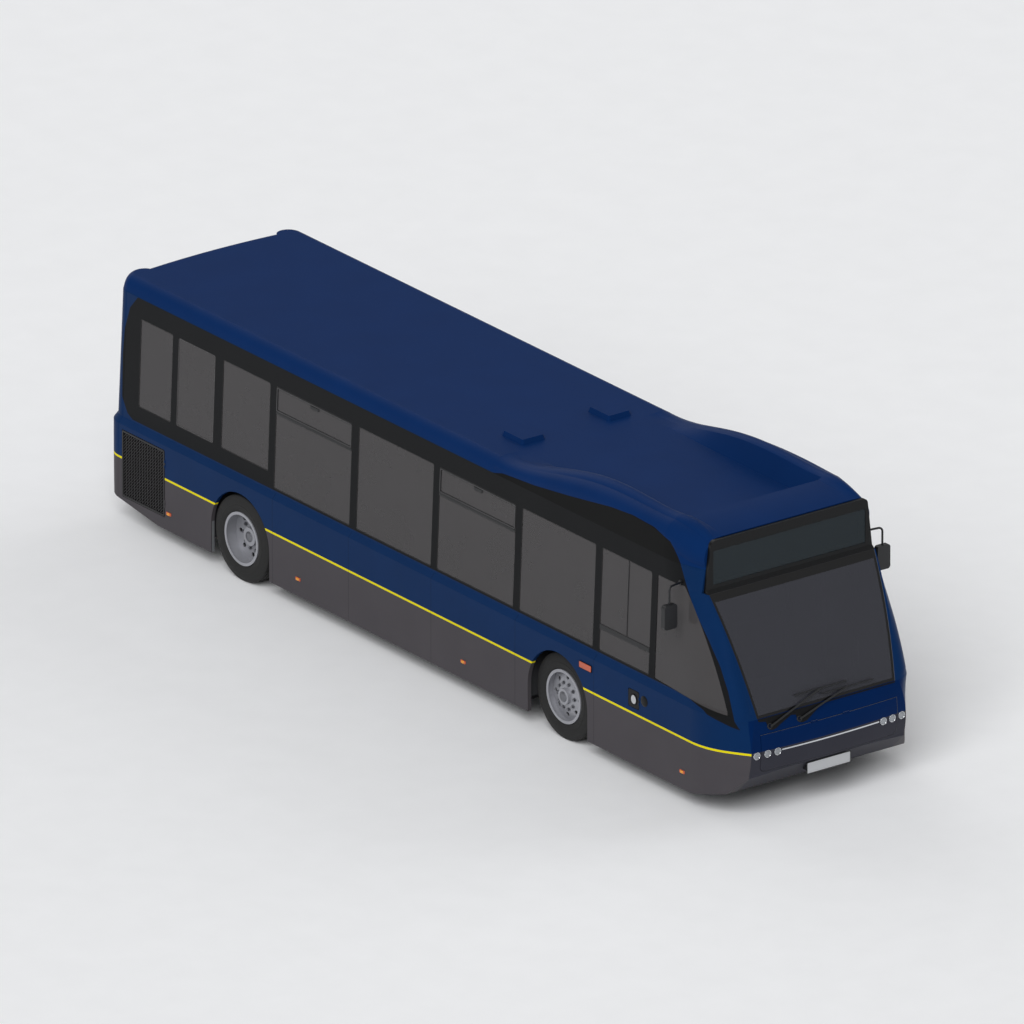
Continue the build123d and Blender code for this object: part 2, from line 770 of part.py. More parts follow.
with BuildPart() as engine_lid:
    add(tail_form)
    add(tail_solid(flap_thickness), mode=Mode.SUBTRACT)
    extrude(rear_rect(tail_x - 20, lid_half - panel_gap, lid_bottom + panel_gap, lid_top - panel_gap, 36.0),
            amount=300, mode=Mode.INTERSECT)
    add(hinge_barrels(lid_hinge, False, seat_gap), mode=Mode.SUBTRACT)
    add(hinge_barrels(lid_hinge, True))

with BuildPart() as rear_glass:
    add(tail_solid(pane_recess))
    add(tail_solid(pane_recess + pane), mode=Mode.SUBTRACT)
    extrude(rear_rect(tail_x - 20, rear_window_half - seat_gap, rear_window_sill + seat_gap,
                      window_top - seat_gap, 60.0), amount=300, mode=Mode.INTERSECT)

with BuildPart() as tail_lamps:
    add(tail_form)
    add(tail_solid(tail_lamp_depth), mode=Mode.SUBTRACT)
    extrude(lamp_zone(seat_gap), amount=300, mode=Mode.INTERSECT)

# Main roof: a cove all round and a flat top
with BuildPart() as roof:
    loft([tail_outline(level, 0.0, fairing_split) for level in roof_levels])
    loft([tail_outline(tail_upper[-1], wall, fairing_split), tail_outline(ceiling_level, 0.0, fairing_split)],
         ruled=True, mode=Mode.SUBTRACT)


# Two low hatch covers on the roof
with BuildPart() as roof_hatches:
    with BuildSketch(Plane.XY.offset(roof_z + seat_gap)):
        with Locations((hatch_x, hatch_y), (hatch_x, -hatch_y)):
            RectangleRounded(hatch_length, hatch_width, 40.0)
    extrude(amount=hatch_height, taper=25)


def fairing_section(row):
    """One cross section of the front roof: side, shoulder, crest, inner slope and deck."""
    x, cant_y, side_y, side_z, shoulder_y, shoulder_z, crest_y, crest_z, inner_y, inner_z, foot_y, deck_z = row
    dy, dz = shoulder_y - side_y, shoulder_z - side_z
    mid = ((side_y + shoulder_y) / 2 + 0.16 * dz, (side_z + shoulder_z) / 2 - 0.16 * dy)
    with BuildSketch(Plane.YZ.offset(x)) as section:
        with BuildLine():
            Line((0, cant_z), (cant_y, cant_z))
            Line((cant_y, cant_z), (side_y, side_z))
            ThreePointArc((side_y, side_z), mid, (shoulder_y, shoulder_z))
            ThreePointArc((shoulder_y, shoulder_z), (crest_y, crest_z), (inner_y, inner_z))
            Line((inner_y, inner_z), (foot_y, deck_z))
            Line((foot_y, deck_z), (0, deck_z))
            mirror(about=Plane.YZ)
        make_face()
    return section.sketch


with BuildPart() as front_roof:
    loft([fairing_section(row) for row in hump_rows])
    loft([fairing_section(row) for row in dome_rows])
    with BuildSketch(Plane.YZ.offset(fairing_split - 10)):
        with BuildLine():
            Polyline((0, cant_z - 10), (cant_half - wall, cant_z - 10), (cant_half - wall - 10, roof_z - 90),
                     (cant_half - 105, roof_z - wall), (0, roof_z - wall))
            mirror(about=Plane.YZ)
        make_face()
    extrude(amount=dome_split - fairing_split + 10, mode=Mode.SUBTRACT)
    with BuildSketch(Plane.YZ.offset(dome_split - 10)):
        with Locations((0, (cant_z + roof_z - wall) / 2)):
            Rectangle(2 * tray_half + 40, roof_z - wall - cant_z)
    extrude(amount=plate_back_x - dome_split + 20, mode=Mode.SUBTRACT)
    with BuildSketch(Plane.YZ.offset(tray_back_x - 10)):
        with Locations((0, cant_z + 100)):
            Rectangle(2 * tray_half + 1, 2 * (tray_top + 1 - cant_z - 100))
    extrude(amount=300, mode=Mode.SUBTRACT)

# Destination box: a black surround with a shallow tray behind its glass
with BuildPart() as destination_box:
    with BuildSketch(Plane.XZ.offset(-plate_foot_half)):
        with BuildLine():
            Polyline((plate_back_x, plate_bottom), (screen_head_x, plate_bottom), (plate_front_x, plate_bottom + 36),
                     (plate_front_x, plate_top), (plate_back_x, plate_top), close=True)
        make_face()
    extrude(amount=2 * plate_foot_half)
    with BuildSketch(Plane.YZ.offset(tray_back_x)) as outline:
        with BuildLine():
            Polyline((-plate_foot_half, plate_bottom), (plate_foot_half, plate_bottom),
                     (plate_head_half, plate_top), (-plate_head_half, plate_top), close=True)
        make_face()
        fillet(outline.vertices().group_by(Axis.Y)[-1], plate_corner)
    extrude(amount=400, mode=Mode.INTERSECT)
    with BuildSketch(Plane.YZ.offset(tray_back_x)):
        with Locations((0, (tray_bottom + tray_top) / 2)):
            Rectangle(2 * tray_half, tray_top - tray_bottom)
    extrude(amount=plate_back_x - tray_back_x)
    with BuildSketch(Plane.YZ.offset(tray_back_x + tray_wall)):
        with Locations((0, (display_bottom + display_top) / 2)):
            RectangleRounded(2 * display_half, display_top - display_bottom, display_corner)
    extrude(amount=400, mode=Mode.SUBTRACT)

with BuildPart() as destination_glass:
    with BuildSketch(Plane.YZ.offset(plate_front_x - pane_recess - pane)):
        with Locations((0, (display_bottom + display_top) / 2)):
            RectangleRounded(2 * (display_half - seat_gap), display_top - display_bottom - 2 * seat_gap,
                             display_corner)
    extrude(amount=pane)

# Radiator door in the right side: a frame with upright slats
with BuildPart() as radiator_door:
    with BuildSketch(Plane.XZ.offset(half_width - grille_thickness)):
        with Locations(((grille_start + grille_end) / 2, (grille_bottom + grille_top) / 2)):
            RectangleRounded(grille_end - grille_start - 2 * panel_gap, grille_top - grille_bottom - 2 * panel_gap,
                             grille_corner)
            Rectangle(grille_end - grille_start - 2 * grille_frame, grille_top - grille_bottom - 2 * grille_frame,
                      mode=Mode.SUBTRACT)
    extrude(amount=grille_thickness)
    with BuildSketch(Plane.XZ.offset(half_width - grille_thickness + 4)):
        with Locations(((grille_start + grille_end) / 2, (grille_bottom + grille_top) / 2)):
            with GridLocations(grille_pitch, 0, grille_slats, 1):
                Rectangle(grille_slat_width, grille_top - grille_bottom - 2 * grille_frame + 10)
    extrude(amount=grille_thickness - 8)
    add(hinge_barrels(grille_hinge, False, seat_gap), mode=Mode.SUBTRACT)
    add(hinge_barrels(grille_hinge, True))

with BuildPart() as radiator:
    with BuildSketch(Plane.XY.offset(radiator_box_bottom + box_wall + seat_gap)):
        with Locations(((grille_start + grille_end) / 2, -radiator_y - radiator_depth / 2)):
            Rectangle(grille_end - grille_start - 20, radiator_depth)
    extrude(amount=radiator_box_top - radiator_box_bottom - 2 * box_wall - 60)

# Passenger door: two flat leaves in one leaning plane, each with its glass
def door_plane_y(z):
    """The door's outer face, which carries the upper wall's lean down to the step."""
    return belt_half - (z - ledge_z) * lean


def door_slab(start, end, bottom, top, outer, inner):
    """A flat piece of the door plane between two depths."""
    with BuildPart() as slab:
        with BuildSketch(Plane.YZ.offset(start)):
            with BuildLine():
                Polyline((door_plane_y(bottom) - outer, bottom), (door_plane_y(top) - outer, top),
                         (door_plane_y(top) - inner, top), (door_plane_y(bottom) - inner, bottom), close=True)
            make_face()
        extrude(amount=end - start)
    return slab.part


def door_leaf(start, end, shaft_x):
    """One leaf's frame, open where its glass goes, with the shaft that it turns on."""
    foot = (shaft_x, door_plane_y(shaft_foot_z) - shaft_depth, shaft_foot_z)
    with BuildPart() as leaf:
        add(door_slab(start, end, door_bottom + panel_gap, door_top - panel_gap, 0.0, door_thickness))
        with BuildSketch(Plane.XZ):
            with Locations(((start + end) / 2, (door_bottom + door_top) / 2 + 20)):
                RectangleRounded(end - start - 2 * door_stile, door_top - door_bottom - 2 * door_rail - 40, 40.0)
        extrude(amount=-half_width, mode=Mode.SUBTRACT)
        with BuildSketch(Plane(origin=foot, x_dir=(1, 0, 0), z_dir=(0, -lean, 1))):
            Circle(door_shaft_radius)
        extrude(amount=(gear_bottom - 1.0 - shaft_foot_z) * math.hypot(1.0, lean))
        for z in shaft_arms:
            add(door_slab(shaft_x - door_shaft_radius, shaft_x + door_shaft_radius, z - arm_height / 2,
                          z + arm_height / 2, door_thickness - 4.0, shaft_depth))
    return leaf.part


def door_glass(start, end):
    """The glass of one leaf."""
    with BuildPart() as glass:
        add(door_slab(start, end, door_bottom + panel_gap, door_top - panel_gap, pane_recess, pane_recess + pane))
        with BuildSketch(Plane.XZ):
            with Locations(((start + end) / 2, (door_bottom + door_top) / 2 + 20)):
                RectangleRounded(end - start - 2 * (door_stile + seat_gap),
                                 door_top - door_bottom - 2 * (door_rail + seat_gap) - 40, 40.0)
        extrude(amount=-half_width, mode=Mode.INTERSECT)
    return glass.part


door_middle = (door_start + door_end) / 2
rear_leaf_span = (door_start + door_jamb_gap, door_middle - door_meeting_gap / 2)
front_leaf_span = (door_middle + door_meeting_gap / 2, door_end - door_jamb_gap)
with BuildPart() as door_rear_leaf:
    add(door_leaf(*rear_leaf_span, door_start + shaft_inset))
with BuildPart() as door_front_leaf:
    add(door_leaf(*front_leaf_span, door_end - shaft_inset))
with BuildPart() as door_rear_glass:
    add(door_glass(*rear_leaf_span))
with BuildPart() as door_front_glass:
    add(door_glass(*front_leaf_span))

# Gear box over the doorway, on top of both shafts
with BuildPart() as door_gear:
    add(door_slab(door_start + 2.0, door_end - 2.0, gear_bottom, gear_top, 0.0, gear_depth))
    add(cab_solid(wall + seat_gap), mode=Mode.INTERSECT)

# Floor: low from the front to the steps, then a platform over the engine
with BuildPart() as floor:
    with BuildSketch(Plane.XZ.offset(-floor_half)):
        with BuildLine():
            Polyline((floor_front_x, floor_z), (step_x, floor_z), (step_x, floor_z + step_rise),
                     (step_x - step_depth, floor_z + step_rise), (step_x - step_depth, rear_floor_z),
                     (floor_rear_x, rear_floor_z), (floor_rear_x, rear_floor_z - floor_thickness),
                     (step_x - step_depth - floor_thickness, rear_floor_z - floor_thickness),
                     (step_x - step_depth - floor_thickness, floor_z + step_rise - floor_thickness),
                     (step_x - floor_thickness, floor_z + step_rise - floor_thickness),
                     (step_x - floor_thickness, floor_z - floor_thickness),
                     (floor_front_x, floor_z - floor_thickness), close=True)
        make_face()
    extrude(amount=2 * floor_half)
    for axle_x, inner_y in ((front_axle_x, front_box_inner_y), (rear_axle_x, rear_box_inner_y)):
        with BuildSketch(Plane.XY):
            with Locations((axle_x, (inner_y + half_width) / 2), (axle_x, -(inner_y + half_width) / 2)):
                Rectangle(2 * box_half_length + 2 * seat_gap, half_width - inner_y + 2 * seat_gap)
        extrude(amount=1200, mode=Mode.SUBTRACT)
    with BuildSketch(Plane.XY):
        with Locations(((grille_start + grille_end) / 2, -(radiator_box_inner_y + half_width) / 2)):
            Rectangle(grille_end - grille_start + 2 * (radiator_box_margin + seat_gap),
                      half_width - radiator_box_inner_y + 2 * seat_gap)
    extrude(amount=1200, mode=Mode.SUBTRACT)
    nose_cut = cab_outline(nose_levels[0], wall + seat_gap)
    with BuildSketch(Plane.XY) as nose_trim:
        with Locations(((cab_split + 600 + nose_x) / 2, 0)):
            Rectangle(nose_x - cab_split - 600, body_width)
        add(Pos(0, 0, -nose_levels[0][0]) * nose_cut, mode=Mode.SUBTRACT)
    extrude(amount=1200, mode=Mode.SUBTRACT)
    tail_cut = tail_outline(tail_levels[1], wall + seat_gap)
    with BuildSketch(Plane.XY) as tail_trim:
        with Locations(((tail_split + tail_x) / 2, 0)):
            Rectangle(tail_split - tail_x, body_width)
        add(Pos(0, 0, -tail_levels[1][0]) * tail_cut, mode=Mode.SUBTRACT)
    extrude(amount=1200, mode=Mode.SUBTRACT)
    # Floor plates, risers and treads meet face to face
    for x in (front_axle_x + box_half_length + seat_gap, front_axle_x - box_half_length - seat_gap, step_x,
              step_x - floor_thickness, step_x - step_depth, step_x - step_depth - floor_thickness,
              rear_axle_x + box_half_length + seat_gap, rear_axle_x - box_half_length - seat_gap,
              grille_start - radiator_box_margin - seat_gap, grille_end + radiator_box_margin + seat_gap):
        split(bisect_by=Plane.YZ.offset(x), keep=Keep.BOTH)


def wheel_box(axle_x, inner_y, side):
    """A box over one wheel, open below and towards the arch."""
    outer_y = half_width - wall - seat_gap
    box_bottom_z = floor_z - floor_thickness
    with BuildPart() as box:
        with BuildSketch(Plane.XY.offset(box_bottom_z)):
            with Locations((axle_x, side * (inner_y + outer_y) / 2)):
                Rectangle(2 * box_half_length, outer_y - inner_y)
        extrude(amount=box_top_z - box_bottom_z)
        with BuildSketch(Plane.XY.offset(box_bottom_z)):
            with Locations((axle_x, side * ((inner_y + outer_y) / 2 + box_wall / 2))):
                Rectangle(2 * (box_half_length - box_wall), outer_y - inner_y - box_wall)
        extrude(amount=box_top_z - box_bottom_z - box_wall, mode=Mode.SUBTRACT)
    return box.part


with BuildPart() as wheel_boxes:
    for side in (-1, 1):
        add(wheel_box(front_axle_x, front_box_inner_y, side))
        add(wheel_box(rear_axle_x, rear_box_inner_y, side))
    with BuildSketch(Plane.XZ.offset(-rear_box_inner_y - 60)):
        with Locations((rear_axle_x, axle_slot_top / 2)):
            Rectangle(2 * axle_slot_half, axle_slot_top)
    extrude(amount=2 * rear_box_inner_y + 120, mode=Mode.SUBTRACT)

# Box round the radiator, open towards its door
with BuildPart() as radiator_box:
    with BuildSketch(Plane.XZ.offset(radiator_box_inner_y)):
        with Locations(((grille_start + grille_end) / 2, (radiator_box_bottom + radiator_box_top) / 2)):
            Rectangle(grille_end - grille_start + 2 * radiator_box_margin, radiator_box_top - radiator_box_bottom)
    extrude(amount=half_width - wall - seat_gap - radiator_box_inner_y)
    with BuildSketch(Plane.XZ.offset(radiator_box_inner_y + box_wall)):
        with Locations(((grille_start + grille_end) / 2, (radiator_box_bottom + radiator_box_top) / 2)):
            Rectangle(grille_end - grille_start + 2 * (radiator_box_margin - box_wall),
                      radiator_box_top - radiator_box_bottom - 2 * box_wall)
    extrude(amount=half_width, mode=Mode.SUBTRACT)

# Chassis: two rails with cross members and outriggers under the floor
with BuildPart() as chassis:
    for side in (-1, 1):
        with BuildSketch(Plane.XY.offset(rail_bottom)):
            with Locations(((rail_rear_x + rail_front_x) / 2, side * rail_y)):
                Rectangle(rail_front_x - rail_rear_x, rail_width)
        extrude(amount=floor_z - floor_thickness - seat_gap - rail_bottom)
        with BuildSketch(Plane.XZ.offset(-side * rail_y - rail_width / 2)):
            with BuildLine():
                Polyline((rail_rear_x, rail_bottom), (rail_rear_x, floor_z - floor_thickness - seat_gap),
                         (rear_axle_x + 260, kick_top), (rear_axle_x - 400, kick_top),
                         (rear_axle_x - 700, tail_rail_top), (tail_rail_x, tail_rail_top),
                         (tail_rail_x, tail_rail_top - rail_depth), (rear_axle_x - 760, tail_rail_top - rail_depth),
                         (rear_axle_x - 440, kick_top - rail_depth), (rear_axle_x + 300, kick_top - rail_depth),
                         (rail_rear_x - 60, rail_bottom), close=True)
            make_face()
        extrude(amount=rail_width)
    for x in cross_members:
        with BuildSketch(Plane.XY.offset(rail_bottom + 30)):
            with Locations((x, 0)):
                Rectangle(80, 2 * outrigger_half)
        extrude(amount=rail_cross_depth)
    for x in tail_cross_members:
        with BuildSketch(Plane.XY.offset(tail_rail_top - rail_depth)):
            with Locations((x, 0)):
                Rectangle(80, 2 * rail_y)
        extrude(amount=rail_depth)
    mount_reach = rail_y - engine_width / 2 - seat_gap
    for x in engine_mounts:
        with BuildSketch(Plane.XY.offset(tail_rail_top - rail_depth + 20)):
            with Locations(*[(x, side * (rail_y - mount_reach / 2)) for side in (-1, 1)]):
                Rectangle(engine_mount_length, mount_reach)
        extrude(amount=60)
    with BuildSketch(Plane.XZ.offset(-rail_y - rail_width)):
        with Locations((front_axle_x, rail_notch_z / 2)):
            Rectangle(2 * rail_notch_half, rail_notch_z)
    extrude(amount=2 * rail_y + 2 * rail_width, mode=Mode.SUBTRACT)
    # Rails, cross members and outriggers meet face to face, and so do the lengths of each rail
    for y in (-rail_y - rail_width / 2, -rail_y + rail_width / 2, rail_y - rail_width / 2, rail_y + rail_width / 2):
        split(bisect_by=Plane.XZ.offset(y), keep=Keep.BOTH)
    for x in (rail_rear_x, front_axle_x - rail_notch_half, front_axle_x + rail_notch_half):
        split(bisect_by=Plane.YZ.offset(x), keep=Keep.BOTH)
    for top, foot in (((rear_axle_x + 260, kick_top), (rear_axle_x + 300, kick_top - rail_depth)),
                      ((rear_axle_x - 400, kick_top), (rear_axle_x - 440, kick_top - rail_depth)),
                      ((rear_axle_x - 700, tail_rail_top), (rear_axle_x - 760, tail_rail_top - rail_depth))):
        split(bisect_by=Plane(origin=(top[0], 0, top[1]), x_dir=(0, 1, 0),
                              z_dir=(top[1] - foot[1], 0, foot[0] - top[0])), keep=Keep.BOTH)

with BuildPart() as engine:
    with BuildSketch(Plane.XY.offset(engine_bottom)):
        with Locations(((engine_rear_x + engine_front_x) / 2, 0)):
            Rectangle(engine_front_x - engine_rear_x, engine_width)
    extrude(amount=engine_height)
    fillet(engine.edges().filter_by(Axis.X), 40)

# Front axle: a drop beam with a kingpin boss at each end
with BuildPart() as front_axle:
    with BuildSketch(Plane.YZ.offset(front_axle_x - beam_width / 2)):
        with BuildLine():
            Polyline((0, beam_low), (beam_drop_y, beam_low), (beam_rise_y, axle_z - beam_depth / 2),
                     (kingpin_y, axle_z - beam_depth / 2), (kingpin_y, axle_z + beam_depth / 2),
                     (beam_rise_y - 30, axle_z + beam_depth / 2), (beam_drop_y - 30, beam_low + beam_depth),
                     (0, beam_low + beam_depth))
            mirror(about=Plane.YZ)
        make_face()
    extrude(amount=beam_width)
    with BuildSketch(Plane.XY.offset(beam_low + beam_depth)):
        with Locations(*[(front_axle_x, side * front_spring_y) for side in (-1, 1)]):
            Rectangle(beam_width, 80)
    extrude(amount=front_spring_seat_z - beam_low - beam_depth - 14)
    with BuildSketch(Plane.XY.offset(front_spring_seat_z - 14)):
        with Locations(*[(front_axle_x, side * front_spring_y) for side in (-1, 1)]):
            Circle(spring_radius - 8)
    extrude(amount=14)
    with BuildSketch(Plane.XY.offset(axle_z - boss_height / 2)):
        with Locations((front_axle_x, kingpin_y), (front_axle_x, -kingpin_y)):
            Circle(boss_radius)
    extrude(amount=boss_height)
    with BuildSketch(Plane.XY.offset(axle_z - 200)):
        with Locations((front_axle_x, kingpin_y), (front_axle_x, -kingpin_y)):
            Circle(kingpin_radius + pin_clearance)
    extrude(amount=400, mode=Mode.SUBTRACT)


def outward(x, y, z, side):
    """A plane across the bus at one point, facing outwards on one side."""
    return Plane(origin=(x, y, z), x_dir=(1, 0, 0), z_dir=(0, side, 0))


# Rear axle: tubes, a final drive casing and the spindles
with BuildPart() as rear_axle:
    with BuildSketch(outward(rear_axle_x, -rear_tube_end, axle_z, 1)):
        Circle(rear_tube_radius)
    extrude(amount=2 * rear_tube_end)
    with Locations((rear_axle_x, 0, axle_z)):
        Sphere(final_drive_radius)
    with BuildSketch(Plane.YZ.offset(rear_axle_x - final_drive_radius - 160)):
        with Locations((0, axle_z)):
            Circle(75)
    extrude(amount=200)
    with BuildSketch(Plane.YZ.offset(engine_front_x + seat_gap)):
        with Locations((0, axle_z)):
            Circle(shaft_radius)
    extrude(amount=rear_axle_x - final_drive_radius - engine_front_x)
    with BuildSketch(Plane.XY.offset(rear_arm_low)):
        with Locations(*[(rear_axle_x, side * rear_spring_y) for side in (-1, 1)]):
            Rectangle(2 * (rear_spring_x + spring_radius), rear_arm_width)
    extrude(amount=rear_arm_top - rear_arm_low)
    for side in (-1, 1):
        with BuildSketch(outward(rear_axle_x, side * rear_tube_end, axle_z, side)):
            Circle(rear_spindle_radius)
        extrude(amount=rear_spindle_end - rear_tube_end)


def air_spring(x, y, low, high):
    """An air spring: two rubber folds between a foot and a head."""
    step = (high - low) / 8
    with BuildPart() as spring:
        with BuildSketch(Plane(origin=(x, y, low), x_dir=(1, 0, 0), z_dir=(0, -1, 0))):
            with BuildLine():
                Polyline((0, 0), (spring_waist, 0), (spring_waist, step))
                ThreePointArc((spring_waist, step), (spring_radius, 2.5 * step), (spring_waist, 4 * step))
                ThreePointArc((spring_waist, 4 * step), (spring_radius, 5.5 * step), (spring_waist, 7 * step))
                Polyline((spring_waist, 7 * step), (spring_waist, 8 * step), (0, 8 * step), (0, 0))
            make_face()
        revolve(axis=Axis((x, y, low), (0, 0, 1)))
    return spring.part


# Suspension: air springs on both axles and radius rods ahead of the front beam's cross member
with BuildPart() as suspension:
    for side in (-1, 1):
        add(air_spring(front_axle_x, side * front_spring_y, front_spring_seat_z + seat_gap,
                       box_top_z - box_wall - seat_gap))
        for offset in (-rear_spring_x, rear_spring_x):
            add(air_spring(rear_axle_x + offset, side * rear_spring_y, rear_arm_top + seat_gap,
                           rear_floor_z - floor_thickness - seat_gap))
        rod_start = cross_members[4] + 40 + seat_gap
        with BuildSketch(Plane.YZ.offset(rod_start)):
            with Locations((side * rod_y, rod_z)):
                Circle(rod_radius)
        extrude(amount=front_axle_x - beam_width / 2 - seat_gap - rod_start)


def hung_tank(box):
    """A round-edged tank fixed under the rear platform."""
    start, end, inner_y, outer_y, bottom = box
    with BuildPart() as tank:
        with BuildSketch(Plane.XY.offset(bottom)):
            with Locations(((start + end) / 2, (inner_y + outer_y) / 2)):
                Rectangle(end - start, outer_y - inner_y)
        extrude(amount=rear_floor_z - floor_thickness - seat_gap - bottom)
        fillet(tank.edges().filter_by(Axis.X).group_by(Axis.Z)[0], 60)
    return tank.part


with BuildPart() as tanks:
    add(hung_tank(fuel_tank_box))
    add(hung_tank(silencer_box))


def knuckle(side):
    """A steering knuckle: a fork round the axle end, its kingpin and the stub axle."""
    ear_low = axle_z - boss_height / 2 - seat_gap - ear_thickness
    ear_high = axle_z + boss_height / 2 + seat_gap
    with BuildPart() as part:
        for z in (ear_low, ear_high):
            with BuildSketch(Plane.XY.offset(z)):
                with Locations((front_axle_x, side * kingpin_y)):
                    Circle(boss_radius)
                with Locations((front_axle_x, side * (kingpin_y + fork_reach / 2))):
                    Rectangle(2 * boss_radius, fork_reach)
            extrude(amount=ear_thickness)
        with BuildSketch(Plane.XY.offset(ear_low)):
            with Locations((front_axle_x, side * (kingpin_y + fork_reach + fork_web / 2))):
                Rectangle(2 * boss_radius, fork_web)
        extrude(amount=ear_high - ear_low + ear_thickness)
        with BuildSketch(Plane.XY.offset(ear_low)):
            with Locations((front_axle_x, side * kingpin_y)):
                Circle(kingpin_radius)
        extrude(amount=ear_high - ear_low + ear_thickness)
        with BuildSketch(outward(front_axle_x, side * (kingpin_y + fork_reach + fork_web / 2), axle_z, side)):
            Circle(stub_radius)
        extrude(amount=stub_end - kingpin_y - fork_reach - fork_web / 2)
    return part.part


with BuildPart() as knuckle_left:
    add(knuckle(1))
with BuildPart() as knuckle_right:
    add(knuckle(-1))


def tyre_part(centre_y, axle_x):
    """One tyre: crown, shoulders, walls and beads, turned about its axle."""
    half = tyre_width / 2
    plane = Plane(origin=(axle_x, centre_y, axle_z), x_dir=(0, 1, 0), z_dir=(1, 0, 0))
    with BuildPart() as tyre:
        with BuildSketch(plane):
            with BuildLine():
                Line((0, rim_radius + seat_gap), (half - 22, rim_radius + seat_gap))
                ThreePointArc((half - 22, rim_radius + seat_gap), (half, rim_radius + 75), (half - 14, tyre_radius - 34))
                ThreePointArc((half - 14, tyre_radius - 34), (half - 22, tyre_radius - 12), (half - 42, tyre_radius - 4))
                Line((half - 42, tyre_radius - 4), (0, tyre_radius))
                mirror(about=Plane.YZ)
            make_face()
        revolve(axis=Axis((axle_x, centre_y, axle_z), (0, 1, 0)))
    return tyre.part


def rim_part(centre_y, axle_x, side, face_offset, dish, hub_radius, hub_reach, bore, cap=True):
    """One disc wheel: barrel with lips, a dished disc with hand holes and its hub."""
    half = tyre_width / 2 - 8
    axis = Axis((axle_x, centre_y, axle_z), (0, 1, 0))
    plane = Plane(origin=(axle_x, centre_y, axle_z), x_dir=(0, side, 0), z_dir=(side, 0, 0))
    hub_back, hub_face = face_offset + dish - 60, face_offset + dish + hub_reach
    hub = [(hub_back, bore), (hub_back, hub_radius), (hub_face, hub_radius - 12)]
    if cap:
        hub += [(hub_face, 0), (hub_face - 12, 0), (hub_face - 12, bore)]
    else:
        hub += [(hub_face, bore)]
    with BuildPart() as rim:
        with BuildSketch(plane):
            with BuildLine():
                Polyline((-half, rim_radius - 30), (-half, rim_radius), (half, rim_radius), (half, rim_radius - 30),
                         (half - 10, rim_radius - 30), (half - 16, rim_radius - 12),
                         (-half + 16, rim_radius - 12), (-half + 10, rim_radius - 30), close=True)
            make_face()
            with BuildLine():
                Polyline((face_offset - 12, rim_radius - 6), (face_offset, rim_radius - 6),
                         (face_offset + dish, hub_radius + 20), (face_offset + dish, bore),
                         (face_offset + dish - 14, bore), (face_offset + dish - 14, hub_radius + 20), close=True)
            make_face()
            with BuildLine():
                Polyline(*hub, close=True)
            make_face()
        revolve(axis=axis)
        hole_plane = Plane(origin=(axle_x, centre_y, axle_z), x_dir=(1, 0, 0), z_dir=(0, 1, 0))
        with BuildSketch(hole_plane.offset(-half)):
            with PolarLocations((rim_radius + hub_radius) / 2 + 10, hand_hole_count):
                Circle(hand_hole_radius)
        extrude(amount=2 * half, mode=Mode.SUBTRACT)
    return rim.part


with BuildPart() as front_tyre_left:
    add(tyre_part(front_wheel_y, front_axle_x))
with BuildPart() as front_tyre_right:
    add(tyre_part(-front_wheel_y, front_axle_x))
with BuildPart() as front_wheel_left:
    add(rim_part(front_wheel_y, front_axle_x, 1, 40.0, 45.0, 95.0, 36.0, stub_radius + pin_clearance))
with BuildPart() as front_wheel_right:
    add(rim_part(-front_wheel_y, front_axle_x, -1, 40.0, 45.0, 95.0, 36.0, stub_radius + pin_clearance))


def twin_tyres(side):
    """The two tyres of one rear wheel pair."""
    with BuildPart() as pair:
        add(tyre_part(side * outer_twin_y, rear_axle_x))
        add(tyre_part(side * inner_twin_y, rear_axle_x))
    return pair.part


def twin_wheel(side):
    """Two rims bolted back to back on one rear hub."""
    with BuildPart() as pair:
        add(rim_part(side * outer_twin_y, rear_axle_x, side, -22.0, -20.0, 110.0, 60.0,
                     rear_spindle_radius + pin_clearance))
        add(rim_part(side * inner_twin_y, rear_axle_x, -side, -30.0, -20.0, 110.0, 0.0,
                     rear_spindle_radius + pin_clearance, cap=False))
        with BuildSketch(outward(rear_axle_x, side * inner_twin_y, axle_z, side)):
            Circle(110.0)
            Circle(rear_spindle_radius + pin_clearance, mode=Mode.SUBTRACT)
        extrude(amount=outer_twin_y - inner_twin_y - 50)
    return pair.part


with BuildPart() as rear_tyres_left:
    add(twin_tyres(1))
with BuildPart() as rear_tyres_right:
    add(twin_tyres(-1))
with BuildPart() as rear_wheels_left:
    add(twin_wheel(1))
with BuildPart() as rear_wheels_right:
    add(twin_wheel(-1))


# Driver's place
with BuildPart() as dashboard:
    with BuildSketch(Plane.XZ.offset(-dash_left_y)):
        with BuildLine():
            Polyline((dash_back_x, dash_low), (dash_front_x, dash_low), (dash_front_x, dash_top),
                     (dash_back_x + 120, dash_top), (dash_back_x, dash_top - 90), close=True)
        make_face()
    extrude(amount=dash_left_y - dash_right_y)
    with BuildSketch(Plane.XY.offset(shelf_low)):
        with Locations(((shelf_back_x + dash_front_x) / 2, 0)):
            Rectangle(dash_front_x - shelf_back_x, body_width)
    extrude(amount=dash_top - shelf_low)
    add(cab_solid(wall + seat_gap), mode=Mode.INTERSECT)
    with BuildSketch(Plane(origin=wheel_centre, x_dir=(0, 1, 0), z_dir=column_dir).offset(column_gap)):
        Circle(column_radius)
    extrude(amount=column_length)
    # The driver's binnacle and the shelf under the left of the screen meet face to face
    split(bisect_by=Plane.XZ.offset(-dash_left_y), keep=Keep.BOTH)

